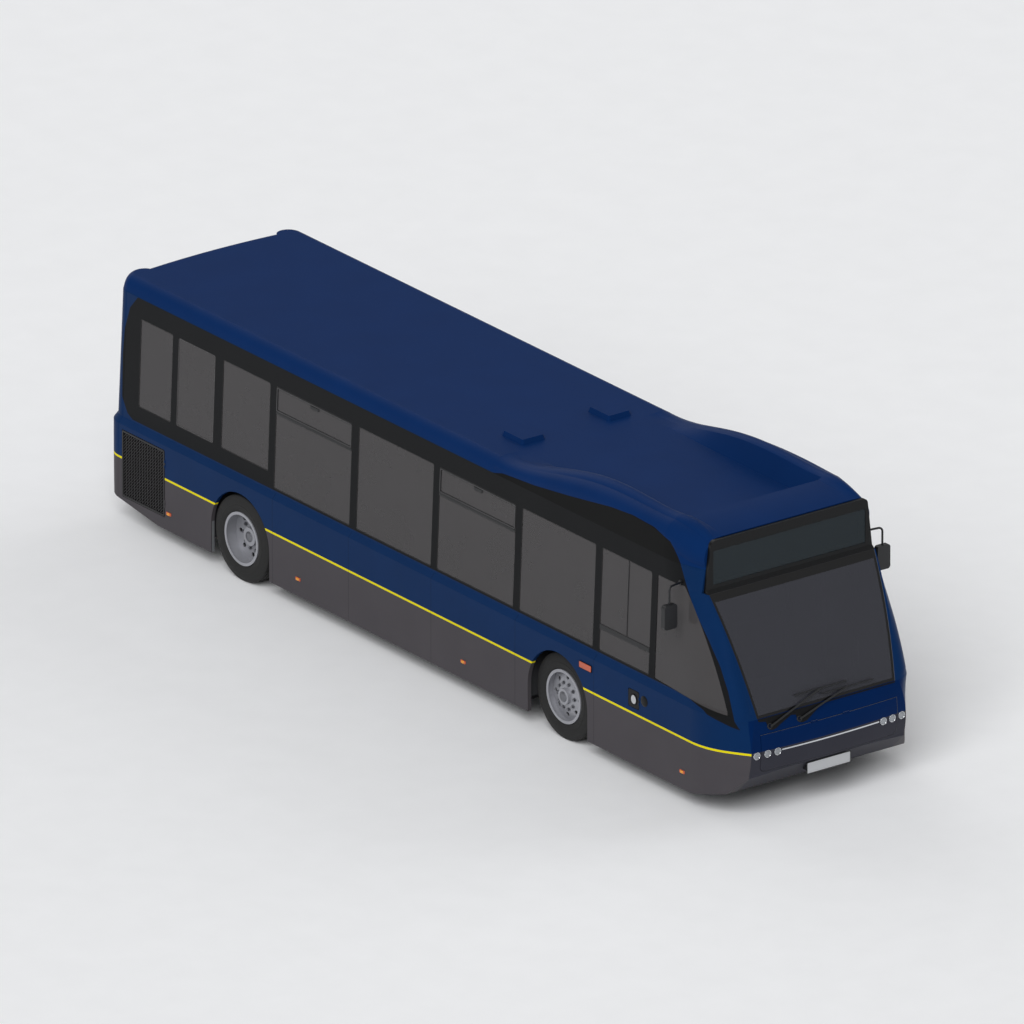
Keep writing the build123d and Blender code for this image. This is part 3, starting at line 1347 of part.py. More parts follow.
with BuildPart() as steering_wheel:
    with BuildSketch(Plane(origin=wheel_centre, x_dir=(0, 1, 0), z_dir=(-column_dir[2], 0, column_dir[0]))):
        with Locations((wheel_ring_radius, 0)):
            Circle(wheel_grip)
    revolve(axis=Axis(wheel_centre, column_dir))
    with BuildSketch(Plane(origin=wheel_centre, x_dir=(0, 1, 0), z_dir=column_dir).offset(-12)):
        Circle(45)
        with PolarLocations(wheel_ring_radius / 2, 3):
            Rectangle(wheel_ring_radius - 10, 32)
    extrude(amount=22)

with BuildPart() as driver_seat:
    with BuildSketch(Plane.XY.offset(floor_z + seat_gap)):
        with Locations((driver_seat_x, driver_y)):
            Rectangle(340, 340)
    extrude(amount=driver_base_height)
    with BuildSketch(Plane.XY.offset(floor_z + seat_gap + driver_base_height)):
        with Locations((driver_seat_x, driver_y)):
            RectangleRounded(470, 460, 60)
    extrude(amount=110)
    with BuildSketch(Plane.XZ.offset(-driver_y - 230)):
        with BuildLine():
            z0 = floor_z + driver_base_height
            Polyline((driver_seat_x - 170, z0 + 60), (driver_seat_x - 290, z0 + 760), (driver_seat_x - 370, z0 + 760),
                     (driver_seat_x - 260, z0 + 20), close=True)
        make_face()
    extrude(amount=460)

# Cab partition behind the driver
with BuildPart() as cab_partition:
    with BuildSketch(Plane.YZ.offset(partition_x)):
        with Locations(((partition_right_y + partition_left_y) / 2, floor_z + seat_gap + partition_height / 2)):
            Rectangle(partition_left_y - partition_right_y, partition_height)
    extrude(amount=partition_thickness)
    add(hinge_barrels(cab_door_hinge, True, seat_gap), mode=Mode.SUBTRACT)
    add(hinge_barrels(cab_door_hinge, False))

# Cab door beside the driver, hinged on the partition
with BuildPart() as cab_door:
    with BuildSketch(Plane.XY.offset(floor_z + 40)):
        with Locations((partition_x + partition_thickness + cab_door_gap + cab_door_length / 2,
                        partition_left_y - partition_thickness / 2)):
            Rectangle(cab_door_length, partition_thickness)
    extrude(amount=cab_door_height)
    add(hinge_barrels(cab_door_hinge, False, seat_gap), mode=Mode.SUBTRACT)
    add(hinge_barrels(cab_door_hinge, True))


def seat_pair(x, y, base_z, pedestal):
    """A pair of passenger seats: pedestal, pan, two cushions and two backs, each resting on the one below."""
    pan_z = base_z + pedestal + 2 * seat_gap
    top_z = pan_z + seat_pan + seat_gap
    back_foot = x - seat_depth / 2
    with BuildPart() as pair:
        with BuildSketch(Plane.XY.offset(base_z + seat_gap)):
            with Locations((x, y)):
                Rectangle(240, 60)
        extrude(amount=pedestal)
        with BuildSketch(Plane.XY.offset(pan_z)):
            with Locations((x, y)):
                Rectangle(seat_depth, 2 * seat_width + 20)
        extrude(amount=seat_pan)
        for dy in (-1, 1):
            cy = y + dy * (seat_width + 10) / 2
            with BuildSketch(Plane.XY.offset(top_z)):
                with Locations((x + (seat_back_foot + seat_gap) / 2, cy)):
                    RectangleRounded(seat_depth - seat_back_foot - seat_gap, seat_width - 10, 40)
            extrude(amount=60)
            with BuildSketch(Plane.XZ.offset(-cy - (seat_width - 10) / 2)):
                with BuildLine():
                    Polyline((back_foot + seat_back_foot, top_z), (back_foot - 90, top_z + 635),
                             (back_foot - 140, top_z + 635), (back_foot, top_z), close=True)
                make_face()
            extrude(amount=seat_width - 10)
    return pair.part


with BuildPart() as passenger_seats:
    for x, side, base_z, pedestal in seat_rows:
        add(seat_pair(x, side * seat_row_y, base_z, pedestal))

# Grab poles from floor to ceiling
with BuildPart() as grab_poles:
    for x, y, base_z in pole_places:
        with BuildSketch(Plane.XY.offset(base_z + seat_gap)):
            with Locations((x, y)):
                Circle(pole_radius)
        extrude(amount=roof_z - wall - base_z - 2 * seat_gap)


def mirror_part(side):
    """A rear-view mirror on a bowed arm from the screen pillar."""
    path_y = side * mirror_y
    with BuildPart() as part:
        with BuildLine() as arm:
            FilletPolyline((mirror_root_x, side * mirror_root_y, mirror_root_z),
                           (mirror_x, path_y, mirror_root_z + 25), (mirror_x, path_y, mirror_head_top - 20),
                           radius=40)
        with BuildSketch(Plane(origin=arm.line @ 0, z_dir=arm.line % 0)):
            Circle(mirror_arm_radius)
        sweep()
        with BuildSketch(outward(mirror_root_x, side * mirror_root_y, mirror_root_z, side)):
            Circle(2 * mirror_arm_radius)
        extrude(amount=mirror_foot_reach)
        with BuildSketch(Plane.YZ.offset(mirror_x - mirror_depth / 2)):
            with Locations((path_y, mirror_head_top - mirror_height / 2)):
                RectangleRounded(mirror_width, mirror_height, 30)
        extrude(amount=mirror_depth)
    return part.part


with BuildPart() as mirrors:
    add(mirror_part(1))
    add(mirror_part(-1))
    add(cab_solid(-seat_gap), mode=Mode.SUBTRACT)


def wiper_part(pivot, root, lift, blade_centre):
    """A wiper: spindle, arm and blade, laid along the foot of the screen."""
    plane = Plane(origin=pivot, x_dir=(0, 1, 0), z_dir=wiper_normal)
    with BuildPart() as part:
        with BuildSketch(plane.offset(root)):
            Circle(wiper_spindle_radius)
        extrude(amount=lift + 24 - root)
        reach = math.hypot(*blade_centre)
        angle = math.degrees(math.atan2(blade_centre[1], blade_centre[0]))
        with BuildSketch(plane.offset(lift + 12)):
            with Locations(Location((0, 0, 0), (0, 0, angle))):
                with Locations((reach / 2, 0)):
                    Rectangle(reach, 18)
        extrude(amount=8)
        with BuildSketch(plane.offset(lift)):
            with Locations(blade_centre):
                Rectangle(wiper_blade, 10)
        extrude(amount=14)
    return part.part


with BuildPart() as wiper_right:
    add(wiper_part(wiper_pivots[0], wiper_roots[0], 14.0, (680.0, 235.0)))
with BuildPart() as wiper_left:
    add(wiper_part(wiper_pivots[1], wiper_roots[1], 4.0, (640.0, 185.0)))

pieces = {
    "left_wall": left_wall,
    "right_wall": right_wall,
    "side_glass": side_glass,
    "cab_right_side": cab_right_side,
    "cab_left_side": cab_left_side,
    "filler_flap": filler_flap,
    "windscreen": windscreen,
    "front_panel": front_panel,
    "front_flap": front_flap,
    "headlamps_outer": headlamps_outer,
    "headlamps_inner": headlamps_inner,
    "tail_end": tail_end,
    "engine_lid": engine_lid,
    "rear_glass": rear_glass,
    "tail_lamps": tail_lamps,
    "roof": roof,
    "roof_hatches": roof_hatches,
    "front_roof": front_roof,
    "destination_box": destination_box,
    "destination_glass": destination_glass,
    "radiator_door": radiator_door,
    "radiator": radiator,
    "radiator_box": radiator_box,
    "door_rear_leaf": door_rear_leaf,
    "door_front_leaf": door_front_leaf,
    "door_rear_glass": door_rear_glass,
    "door_front_glass": door_front_glass,
    "door_gear": door_gear,
    "floor": floor,
    "wheel_boxes": wheel_boxes,
    "chassis": chassis,
    "engine": engine,
    "tanks": tanks,
    "suspension": suspension,
    "front_axle": front_axle,
    "rear_axle": rear_axle,
    "knuckle_left": knuckle_left,
    "knuckle_right": knuckle_right,
    "front_tyre_left": front_tyre_left,
    "front_tyre_right": front_tyre_right,
    "front_wheel_left": front_wheel_left,
    "front_wheel_right": front_wheel_right,
    "rear_tyres_left": rear_tyres_left,
    "rear_tyres_right": rear_tyres_right,
    "rear_wheels_left": rear_wheels_left,
    "rear_wheels_right": rear_wheels_right,
    "dashboard": dashboard,
    "steering_wheel": steering_wheel,
    "driver_seat": driver_seat,
    "cab_partition": cab_partition,
    "cab_door": cab_door,
    "passenger_seats": passenger_seats,
    "grab_poles": grab_poles,
    "mirrors": mirrors,
    "wiper_right": wiper_right,
    "wiper_left": wiper_left,
}
for label, piece in pieces.items():
    piece.part.label = label
    export_step(piece.part, f"parts/{label}.step")
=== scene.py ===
"""Single-deck low-floor city bus: finishes, fittings, seats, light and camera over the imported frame."""

import logging
import math
from collections.abc import Sequence
from dataclasses import dataclass, replace
from enum import Enum

import bmesh
import bpy
from mathutils import Matrix, Vector
from mathutils.bvhtree import BVHTree


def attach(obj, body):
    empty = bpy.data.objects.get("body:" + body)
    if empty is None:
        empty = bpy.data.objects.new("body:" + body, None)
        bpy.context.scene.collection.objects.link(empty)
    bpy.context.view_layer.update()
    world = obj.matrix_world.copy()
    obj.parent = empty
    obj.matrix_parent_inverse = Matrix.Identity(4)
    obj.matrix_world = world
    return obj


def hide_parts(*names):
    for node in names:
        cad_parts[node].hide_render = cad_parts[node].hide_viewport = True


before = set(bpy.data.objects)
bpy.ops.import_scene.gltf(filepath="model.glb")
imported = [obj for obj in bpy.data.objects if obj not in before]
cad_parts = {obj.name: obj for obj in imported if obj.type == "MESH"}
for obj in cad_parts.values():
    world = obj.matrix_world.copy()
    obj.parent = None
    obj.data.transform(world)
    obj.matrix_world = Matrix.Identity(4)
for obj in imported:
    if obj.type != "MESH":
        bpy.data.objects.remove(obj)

LOG = logging.getLogger("city_bus")
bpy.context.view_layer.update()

Pair = tuple[float, float]
Triple = tuple[float, float, float]
Outline = Sequence[Pair]
Socket = bpy.types.NodeSocket
Verts = list[bmesh.types.BMVert]

# The side of the saloon, shared by everything that is fixed to it, in metres
SKIRT_HALF = 1.250
BELT_HALF = 1.198
BELT_Z = 1.140
BREAK_Z = 1.1105
LEAN = 0.056 / 1.358
GLASS_DEPTH = 0.005
WINDOW_TOP = 2.285
# Each side window: start and end along X, and sill height
WINDOWS = ((-4.789, -4.231, 1.325), (-4.141, -3.501, 1.325), (-3.371, -2.557, 1.325), (-2.457, -1.160, 1.176),
           (-1.053, 0.223, 1.176), (0.317, 1.610, 1.176), (1.708, 2.949, 1.176))
DRIVER_WINDOW = (3.048, 3.884, 1.176)
# The space that keeps a fitting's back out of the face that it lies on
GAP = 0.0003
# Edges that turn by more than the first angle look sharp, and a piece's bevel rounds those over the second
SHARP_DEGREES = 32
BEVEL_DEGREES = 40
# Size of the soft patches of tone on every surface
CLOUD_MM = 454.545
COAT_ROUGHNESS = 0.05
AHEAD, LEFTWARD, UPWARD = Vector((1, 0, 0)), Vector((0, 1, 0)), Vector((0, 0, 1))


def basis(up: Vector, out: Vector, origin: Vector) -> Matrix:
    """Make a frame from two of its directions.

    Args:
        up: Its Y direction.
        out: Its Z direction.
        origin: Its origin.

    Returns:
        The frame's matrix.
    """
    made = Matrix((up.cross(out), up, out)).transposed().to_4x4()
    made.translation = origin
    return made


class Side(Enum):
    """The two sides of the bus, as the sign of Y."""

    LEFT = 1
    RIGHT = -1

    def wall(self, x: float, z: float, depth: float = 0.0) -> Matrix:
        """Make a frame on this side's skin, seen from outside.

        Args:
            x: Place along the bus.
            z: Height.
            depth: How far behind the skin.

        Returns:
            A matrix whose X runs along the wall, Y up the wall and Z outwards.
        """
        above = z >= BREAK_Z
        lean = LEAN if above else 0.0
        half = BELT_HALF - (z - BELT_Z) * LEAN if above else SKIRT_HALF
        up = Vector((0.0, -self.value * lean, 1.0)).normalized()
        out = Vector((0.0, self.value, lean)).normalized()
        return basis(up, out, Vector((x, self.value * (half - depth), z)))


class Facing(Enum):
    """The way a thin piece faces, as the directions up it and out of it."""

    FRONT = ((0, 0, 1), (1, 0, 0))
    REAR = ((0, 0, 1), (-1, 0, 0))
    UP = ((0, 1, 0), (0, 0, 1))
    CUSHION = ((-1, 0, 0), (0, 0, 1))

    def at(self, x: float, y: float, z: float) -> Matrix:
        """Make a frame at a point that faces this way."""
        return basis(*(Vector(axis) for axis in self.value), Vector((x, y, z)))


def rounded(width: float, height: float, radius: float, steps: int = 4) -> Outline:
    """Outline of a round-cornered rectangle about the origin.

    Args:
        width: Full width.
        height: Full height.
        radius: Corner radius.
        steps: Facets on each corner.

    Returns:
        The outline's points, going round once.
    """
    points = []
    for corner, (sx, sy) in enumerate(((1, 1), (-1, 1), (-1, -1), (1, -1))):
        for step in range(steps + 1):
            angle = math.pi / 2 * (corner + step / steps)
            points.append((sx * (width / 2 - radius) + radius * math.cos(angle),
                           sy * (height / 2 - radius) + radius * math.sin(angle)))
    return points


def ellipse(half_width: float, half_height: float, steps: int) -> Outline:
    """Outline of a circle or an ellipse about the origin, with this many points."""
    angles = [2 * math.pi * i / steps for i in range(steps)]
    return [(half_width * math.cos(a), half_height * math.sin(a)) for a in angles]


def linear(code: str) -> tuple[float, float, float, float]:
    """Turn an sRGB hex colour into linear RGBA.

    Args:
        code: Six hex digits.

    Returns:
        Linear red, green, blue and an alpha of one.
    """
    values = [int(code[i:i + 2], 16) / 255 for i in (0, 2, 4)]
    r, g, b = [v / 12.92 if v <= 0.04045 else ((v + 0.055) / 1.055) ** 2.4 for v in values]
    return r, g, b, 1.0


class Graph:
    """The nodes of one material, with its shader and the object coordinates in metres."""

    def __init__(self, material: bpy.types.Material) -> None:
        """Take hold of a new material's shader and of the coordinates.

        Args:
            material: The new material.
        """
        self.tree = material.node_tree
        self.shader = self.tree.nodes["Principled BSDF"]
        self.place = self.add("TexCoord")["Object"]

    def feed(self, node: bpy.types.Node, inputs: dict) -> None:
        """Set a node's inputs.

        Args:
            node: The node.
            inputs: Input name or number to a value, or to the socket that feeds it.
        """
        for key, value in inputs.items():
            if isinstance(value, Socket):
                self.tree.links.new(value, node.inputs[key])
            else:
                node.inputs[key].default_value = value

    def add(self, kind: str, inputs: dict | tuple = (), **settings: str) -> bpy.types.bpy_prop_collection:
        """Add one node with its settings, values and links.

        Args:
            kind: The node's type.
            inputs: Its inputs, by name or number, or in their own order.
            settings: Its properties, such as its operation.

        Returns:
            The node's outputs.
        """
        made = self.tree.nodes.new(f"ShaderNode{kind}")
        for key, value in settings.items():
            setattr(made, key, value)
        self.feed(made, inputs if isinstance(inputs, dict) else dict(enumerate(inputs)))
        return made.outputs

    def joined(self, join: str, *tests: tuple[str, Socket, Socket | float]) -> Socket:
        """Join some tests into one share, which is nought or one.

        Args:
            join: MINIMUM where all of them have to hold, MAXIMUM where one is enough.
            tests: Each test's operation, value and limit.

        Returns:
            The socket with the share.
        """
        shares = [self.add("Math", (value, limit), operation=test)[0] for test, value, limit in tests]
        whole = shares[0]
        for share in shares[1:]:
            whole = self.add("Math", (whole, share), operation=join)[0]
        return whole

    def profile(self, value: Socket, points: tuple[Pair, ...]) -> Socket:
        """Read a bent line of the paint scheme: the second number of each point for the first.

        Args:
            value: The coordinate that the line is read at.
            points: The line's points in metres.

        Returns:
            The socket with the line's other coordinate.
        """
        low, high = points[0][0], points[-1][0]
        bottom, top = min(p[1] for p in points), max(p[1] for p in points)
        share = self.add("MapRange", (value, low, high))[0]
        read = self.add("FloatCurve", {"Factor": 1.0, "Value": share})[0]
        mapping = read.node.mapping
        line = mapping.curves[0]
        scaled = [((x - low) / (high - low), (y - bottom) / (top - bottom)) for x, y in points]
        line.points[0].location, line.points[-1].location = scaled[0], scaled[-1]
        for x, y in scaled[1:-1]:
            line.points.new(x, y)
        for point in line.points:
            point.handle_type = "VECTOR"
        mapping.update()
        return self.add("MapRange", (read, 0.0, 1.0, bottom, top))[0]


@dataclass(frozen=True)
class Finish:
    """A surface finish: what the material is and how it was worked."""

    name: str
    colour: str
    roughness: float
    slot: str = ""
    metallic: float = 0.0
    ior: float = 1.5
    coat: float = 0.0
    alpha: float = 1.0
    grain_mm: float = 2.0
    relief_mm: float = 0.02
    variation: float = 0.06
    sheen: float = 0.0
    gloss: float = 0.5
    tint: str = "ffffff"

    def pattern(self, graph: Graph) -> Socket | tuple:
        """Give the colour before it is varied: here one colour all over."""
        return linear(self.colour)

    def toned(self, graph: Graph, colour: Socket | tuple) -> Socket:
        """Vary a colour softly over the surface.

        Args:
            graph: The material's nodes.
            colour: The colour to vary.

        Returns:
            The socket with the varied colour.
        """
        scale = 1000.0 / CLOUD_MM
        cloud = graph.add("TexNoise", {"Vector": graph.place, "Scale": scale, "Detail": 4.0})["Fac"]
        tone = graph.add("MapRange", (cloud, 0.3, 0.7, 1.0 - self.variation, 1.0 + self.variation))[0]
        start = colour if isinstance(colour, Socket) else colour[:3]
        return graph.add("VectorMath", {0: start, "Scale": tone}, operation="SCALE")[0]

    def relief(self, graph: Graph, detail: float = 2.0) -> None:
        """Add the fine relief at its real grain size.

        Args:
            graph: The material's nodes.
            detail: How fine the grain's own grain is.
        """
        scale = 1000.0 / self.grain_mm
        grain = graph.add("TexNoise", {"Vector": graph.place, "Scale": scale, "Detail": detail})["Fac"]
        self.bump(graph, grain, self.relief_mm)

    def bump(self, graph: Graph, height: Socket, depth_mm: float) -> None:
        """Turn a height from nought to one into relief of a depth on the shader."""
        bump = graph.add("Bump", {"Height": height, "Distance": depth_mm / 1000, "Strength": 1.0})
        graph.feed(graph.shader, {"Normal": bump["Normal"]})

    def material(self) -> bpy.types.Material:
        """Build the material once and hand the same one out afterwards.

        Returns:
            The node material.
        """
        made = bpy.data.materials.get(self.name)
        if made:
            return made
        made = bpy.data.materials.new(self.name)
        made.use_nodes = True
        graph = Graph(made)
        graph.feed(graph.shader, {
            "Roughness": self.roughness, "Metallic": self.metallic, "IOR": self.ior, "Coat Weight": self.coat,
            "Coat Roughness": COAT_ROUGHNESS, "Sheen Weight": self.sheen, "Specular IOR Level": self.gloss,
            "Specular Tint": linear(self.tint), "Alpha": self.alpha})
        graph.feed(graph.shader, {"Base Color": self.toned(graph, self.pattern(graph))})
        self.relief(graph)
        made.diffuse_color = linear(self.colour)
        return made


@dataclass(frozen=True)
class CoachPaint(Finish):
    """Sprayed coach enamel in the bus's scheme: grey skirt, yellow line, blue body and black window band,
    with a lighter blue on the roof as painted light.
    """

    grain_mm: float = 9.0
    variation: float = 0.04
    gloss: float = 0.08
    tint: str = "6f8cc8"
    skirt: str = "4a474a"
    line: str = "e2d312"
    body: str = "0d2a52"
    # A lighter blue above roof_z: painted light on the upward-facing roof, which has the same paint as the
    # sides
    roof: str = "0c2a59"
    band: str = "1a1a19"
    seam: str = "050608"
    lining: str = "6b6d70"
    lining_roughness: float = 0.6
    saloon_middle: float = 1.4
    end_weight: float = 0.12
    turned_in: float = -0.35
    # The lining's limit: height and half width at belt and roof, and the height and size of its step below
    lining_belt: Pair = (1.14, 1.186)
    lining_head: Pair = (2.498, 1.130)
    lining_step: Pair = (1.12, 0.052)
    split_z: float = 0.710
    line_half: float = 0.007
    roof_z: float = 2.5
    scheme_top: float = 3.0
    band_inner: float = 1.0
    seam_half: float = 0.0022
    seam_top: float = 1.135
    seam_strength: float = 0.7
    joints_x: tuple[float, ...] = (-2.405, -1.106, 0.296, 1.715, 3.037)
    has_band: bool = True
    has_line: bool = True

    BAND_TOP = ((-5.3, 2.498), (1.2, 2.498), (1.35, 2.536), (1.89, 2.577), (2.48, 2.651), (3.16, 2.751),
                (3.53, 2.779), (3.88, 2.763), (4.16, 2.688), (4.30, 2.52), (4.41, 2.29), (4.54, 2.083),
                (4.76, 1.827), (4.94, 1.589), (5.07, 1.34), (5.20, 0.97), (5.4, 0.6))
    BAND_FOOT = ((-5.3, 1.157), (4.45, 1.157), (4.80, 1.105), (5.05, 1.03), (5.20, 0.97), (5.4, 0.9))
    BAND_REAR = ((1.10, -4.80), (1.157, -4.88), (1.20, -4.97), (1.35, -5.07), (1.80, -5.085), (2.10, -5.06),
                 (2.35, -4.98), (2.49, -4.86), (2.60, -4.7))

    def pattern(self, graph: Graph) -> Socket:
        """Paint the zones by their real heights and places on the body.

        Args:
            graph: The material's nodes.

        Returns:
            The socket with the scheme's colour.
        """
        x, y, z = graph.add("SeparateXYZ", (graph.place,))
        wide = graph.add("Math", (y,), operation="ABSOLUTE")[0]
        height = graph.add("Math", (z, 1 / self.scheme_top), operation="MULTIPLY")[0]
        colour = graph.add("ValToRGB", (height,))[0]
        ramp = colour.node.color_ramp
        ramp.interpolation = "CONSTANT"
        ramp.elements[0].color = linear(self.skirt)
        ramp.elements[1].position = (self.split_z + self.line_half) / self.scheme_top
        ramp.elements[1].color = linear(self.body)
        if self.has_line:
            ramp.elements.new((self.split_z - self.line_half) / self.scheme_top).color = linear(self.line)
        # The roof's lighter blue is painted light on the top, which faces up
        ramp.elements.new(self.roof_z / self.scheme_top).color = linear(self.roof)
        if self.has_band:
            share = graph.joined("MINIMUM", ("LESS_THAN", z, graph.profile(x, self.BAND_TOP)),
                                 ("GREATER_THAN", z, graph.profile(x, self.BAND_FOOT)),
                                 ("GREATER_THAN", x, graph.profile(z, self.BAND_REAR)),
                                 ("GREATER_THAN", wide, self.band_inner))
            colour = graph.add("Mix", {0: share, 6: colour, 7: linear(self.band)}, data_type="RGBA")[2]
        low = graph.add("Math", (z, self.seam_top), operation="LESS_THAN")[0]
        for joint in self.joints_x:
            near = graph.add("Math", (x, joint, self.seam_half), operation="COMPARE")[0]
            share = graph.add("Math", (near, low), operation="MULTIPLY")[0]
            share = graph.add("Math", (share, self.seam_strength), operation="MULTIPLY")[0]
            colour = graph.add("Mix", {0: share, 6: colour, 7: linear(self.seam)}, data_type="RGBA")[2]
        inside = self.inside(graph, wide, z)
        matt = graph.add("MapRange", (inside, 0.0, 1.0, self.roughness, self.lining_roughness))[0]
        graph.feed(graph.shader, {"Roughness": matt})
        return graph.add("Mix", {0: inside, 6: colour, 7: linear(self.lining)}, data_type="RGBA")[2]

    def inside(self, graph: Graph, wide: Socket, z: Socket) -> Socket:
        """Mark the inner face of the shell, which faces the middle and lies inside a limit.

        Args:
            graph: The material's nodes.
            wide: Distance from the middle plane.
            z: Height.

        Returns:
            The socket with one on the inner face and zero outside.
        """
        facing = graph.add("TexCoord")["Normal"]
        # Directions away from a line along the bus at half the height of the saloon
        weights, middle = (self.end_weight, 1.0, 1.0), (0.0, 0.0, -self.saloon_middle)
        away = graph.add("VectorMath", (graph.place, weights, middle), operation="MULTIPLY_ADD")[0]
        outward = graph.add("VectorMath", (facing, away), operation="DOT_PRODUCT")["Value"]
        (belt_z, belt_half), (head_z, head_half), (step_z, step) = (
            self.lining_belt, self.lining_head, self.lining_step)
        leaning = graph.add("MapRange", (z, belt_z, head_z, belt_half, head_half))[0]
        below = graph.add("Math", (z, step_z), operation="LESS_THAN")[0]
        limit = graph.add("Math", (below, step, leaning), operation="MULTIPLY_ADD")[0]
        return graph.joined("MINIMUM", ("LESS_THAN", outward, self.turned_in), ("LESS_THAN", wide, limit))


@dataclass(frozen=True)
class ScreenGlass(Finish):
    """Laminated glass with the black border that is fired on round its edge."""

    border: str = "141415"
    border_width: float = 0.030
    head_band: float = 0.075
    foot_z: float = 1.061
    head_z: float = 2.262

    HALF_WIDTHS = ((1.0, 0.862), (1.061, 0.870), (1.37, 0.915), (1.665, 0.956), (1.97, 0.999), (2.262, 1.040),
                   (2.4, 1.055))

    def pattern(self, graph: Graph) -> Socket:
        """Paint the border by its distance from the pane's edges, and let nothing show through it.

        Args:
            graph: The material's nodes.

        Returns:
            The socket with the colour of glass and border.
        """
        _, y, z = graph.add("SeparateXYZ", (graph.place,))
        wide = graph.add("Math", (y,), operation="ABSOLUTE")[0]
        edge = graph.profile(z, self.HALF_WIDTHS)
        inner = graph.add("Math", (edge, self.border_width), operation="SUBTRACT")[0]
        border = graph.joined("MAXIMUM", ("GREATER_THAN", wide, inner),
                              ("LESS_THAN", z, self.foot_z + self.border_width),
                              ("GREATER_THAN", z, self.head_z - self.head_band))
        solid = graph.add("MapRange", (border, 0.0, 1.0, self.alpha, 1.0))[0]
        graph.feed(graph.shader, {"Alpha": solid})
        glass = linear(self.colour)
        return graph.add("Mix", {0: border, 6: glass, 7: linear(self.border)}, data_type="RGBA")[2]


@dataclass(frozen=True)
class TyreRubber(Finish):
    """Cured rubber: slanting cuts on the tread and fine rings on the wall, about the axle at the origin."""

    tread_radius: float = 0.446
    cuts: int = 64
    cut_slant: float = 60.0
    cut_level: float = -0.72
    cut_depth_mm: float = 5.0
    ring_mm: float = 6.0
    ring_share: float = 0.06

    def relief(self, graph: Graph) -> None:
        """Cut the tread across and ring the wall.

        Args:
            graph: The material's nodes.
        """
        x, y, z = graph.add("SeparateXYZ", (graph.place,))
        turn = graph.add("Math", (z, x), operation="ARCTAN2")[0]
        turn = graph.add("Math", (turn, self.cuts), operation="MULTIPLY")[0]
        slant = graph.add("Math", (y, self.cut_slant, turn), operation="MULTIPLY_ADD")[0]
        wave = graph.add("Math", (slant,), operation="SINE")[0]
        flat = graph.add("VectorMath", (graph.place, (1.0, 0.0, 1.0)), operation="MULTIPLY")[0]
        radius = graph.add("VectorMath", (flat,), operation="LENGTH")["Value"]
        cut = graph.joined("MINIMUM", ("LESS_THAN", wave, self.cut_level),
                           ("GREATER_THAN", radius, self.tread_radius))
        turns = graph.add("Math", (radius, 2 * math.pi * 1000 / self.ring_mm), operation="MULTIPLY")[0]
        rings = graph.add("Math", (turns,), operation="SINE")[0]
        rings = graph.add("Math", (rings, self.ring_share), operation="MULTIPLY")[0]
        on_wall = graph.add("Math", (radius, self.tread_radius), operation="LESS_THAN")[0]
        wall = graph.add("Math", (rings, on_wall), operation="MULTIPLY")[0]
        height = graph.add("Math", (wall, cut), operation="SUBTRACT")[0]
        self.bump(graph, height, self.cut_depth_mm)


@dataclass(frozen=True)
class WovenCloth(Finish):
    """Cut-pile woven seat cloth with a small repeating figure."""

    figure: str = "5a6c9a"
    figure_mm: float = 38.0
    figure_size: float = 0.22
    # The real thread is under half a millimetre; it is drawn coarser so that it shows
    grain_mm: float = 3.0

    def pattern(self, graph: Graph) -> Socket:
        """Weave the figure into the ground colour.

        Args:
            graph: The material's nodes.

        Returns:
            The socket with the cloth's colour.
        """
        spots = graph.add("TexVoronoi", {
            "Vector": graph.place, "Scale": 1000.0 / self.figure_mm, "Randomness": 0.25})["Distance"]
        mark = graph.add("Math", (spots, self.figure_size), operation="LESS_THAN")[0]
        ground = linear(self.colour)
        return graph.add("Mix", {0: mark, 6: ground, 7: linear(self.figure)}, data_type="RGBA")[2]

    def relief(self, graph: Graph) -> None:
        """Raise the pile."""
        super().relief(graph, 1.0)


@dataclass(frozen=True)
class DotMatrix(Finish):
    """An unlit display board: rows of small round cells in black plastic."""

    cell: str = "1b2226"
    pitch_mm: float = 16.0
    cell_size: float = 0.12
    relief_mm: float = 0.4

    def cells(self, graph: Graph) -> Socket:
        """Mark the cells at their pitch.

        Args:
            graph: The material's nodes.

        Returns:
            The socket with one on a cell and zero between the cells.
        """
        _, y, z = graph.add("SeparateXYZ", (graph.place,))
        distance = 0.0
        for axis in (y, z):
            rows = graph.add("Math", (axis, self.pitch_mm / 1000), operation="DIVIDE")[0]
            within = graph.add("Math", (rows,), operation="FRACT")[0]
            within = graph.add("Math", (within, 0.5), operation="SUBTRACT")[0]
            distance = graph.add("Math", (within, within, distance), operation="MULTIPLY_ADD")[0]
        return graph.add("Math", (distance, self.cell_size), operation="LESS_THAN")[0]

    def pattern(self, graph: Graph) -> Socket:
        """Draw the cells on the board's black."""
        colours = {0: self.cells(graph), 6: linear(self.colour), 7: linear(self.cell)}
        return graph.add("Mix", colours, data_type="RGBA")[2]

    def relief(self, graph: Graph) -> None:
        """Raise the cells."""
        self.bump(graph, self.cells(graph), self.relief_mm)


# Two-pack enamel: a deep even colour with a clear gloss and the faint orange peel of spraying
COACH_ENAMEL = CoachPaint("two_pack_enamel_side", "0d2a52", 0.38, "body_blue")
TAIL_ENAMEL = replace(COACH_ENAMEL, name="two_pack_enamel_roof_and_tail", roughness=0.42, slot="roof_blue",
                      gloss=0.04, joints_x=())
# The front mouldings are the same coach paint with a darker blue and a darker grey: painted shade on the
# front
FRONT_ENAMEL = replace(COACH_ENAMEL, name="two_pack_enamel_front_painted_shade", colour="021b43", slot="front_blue",
                       body="04204c", skirt="38383f", has_band=False, has_line=False, joints_x=())
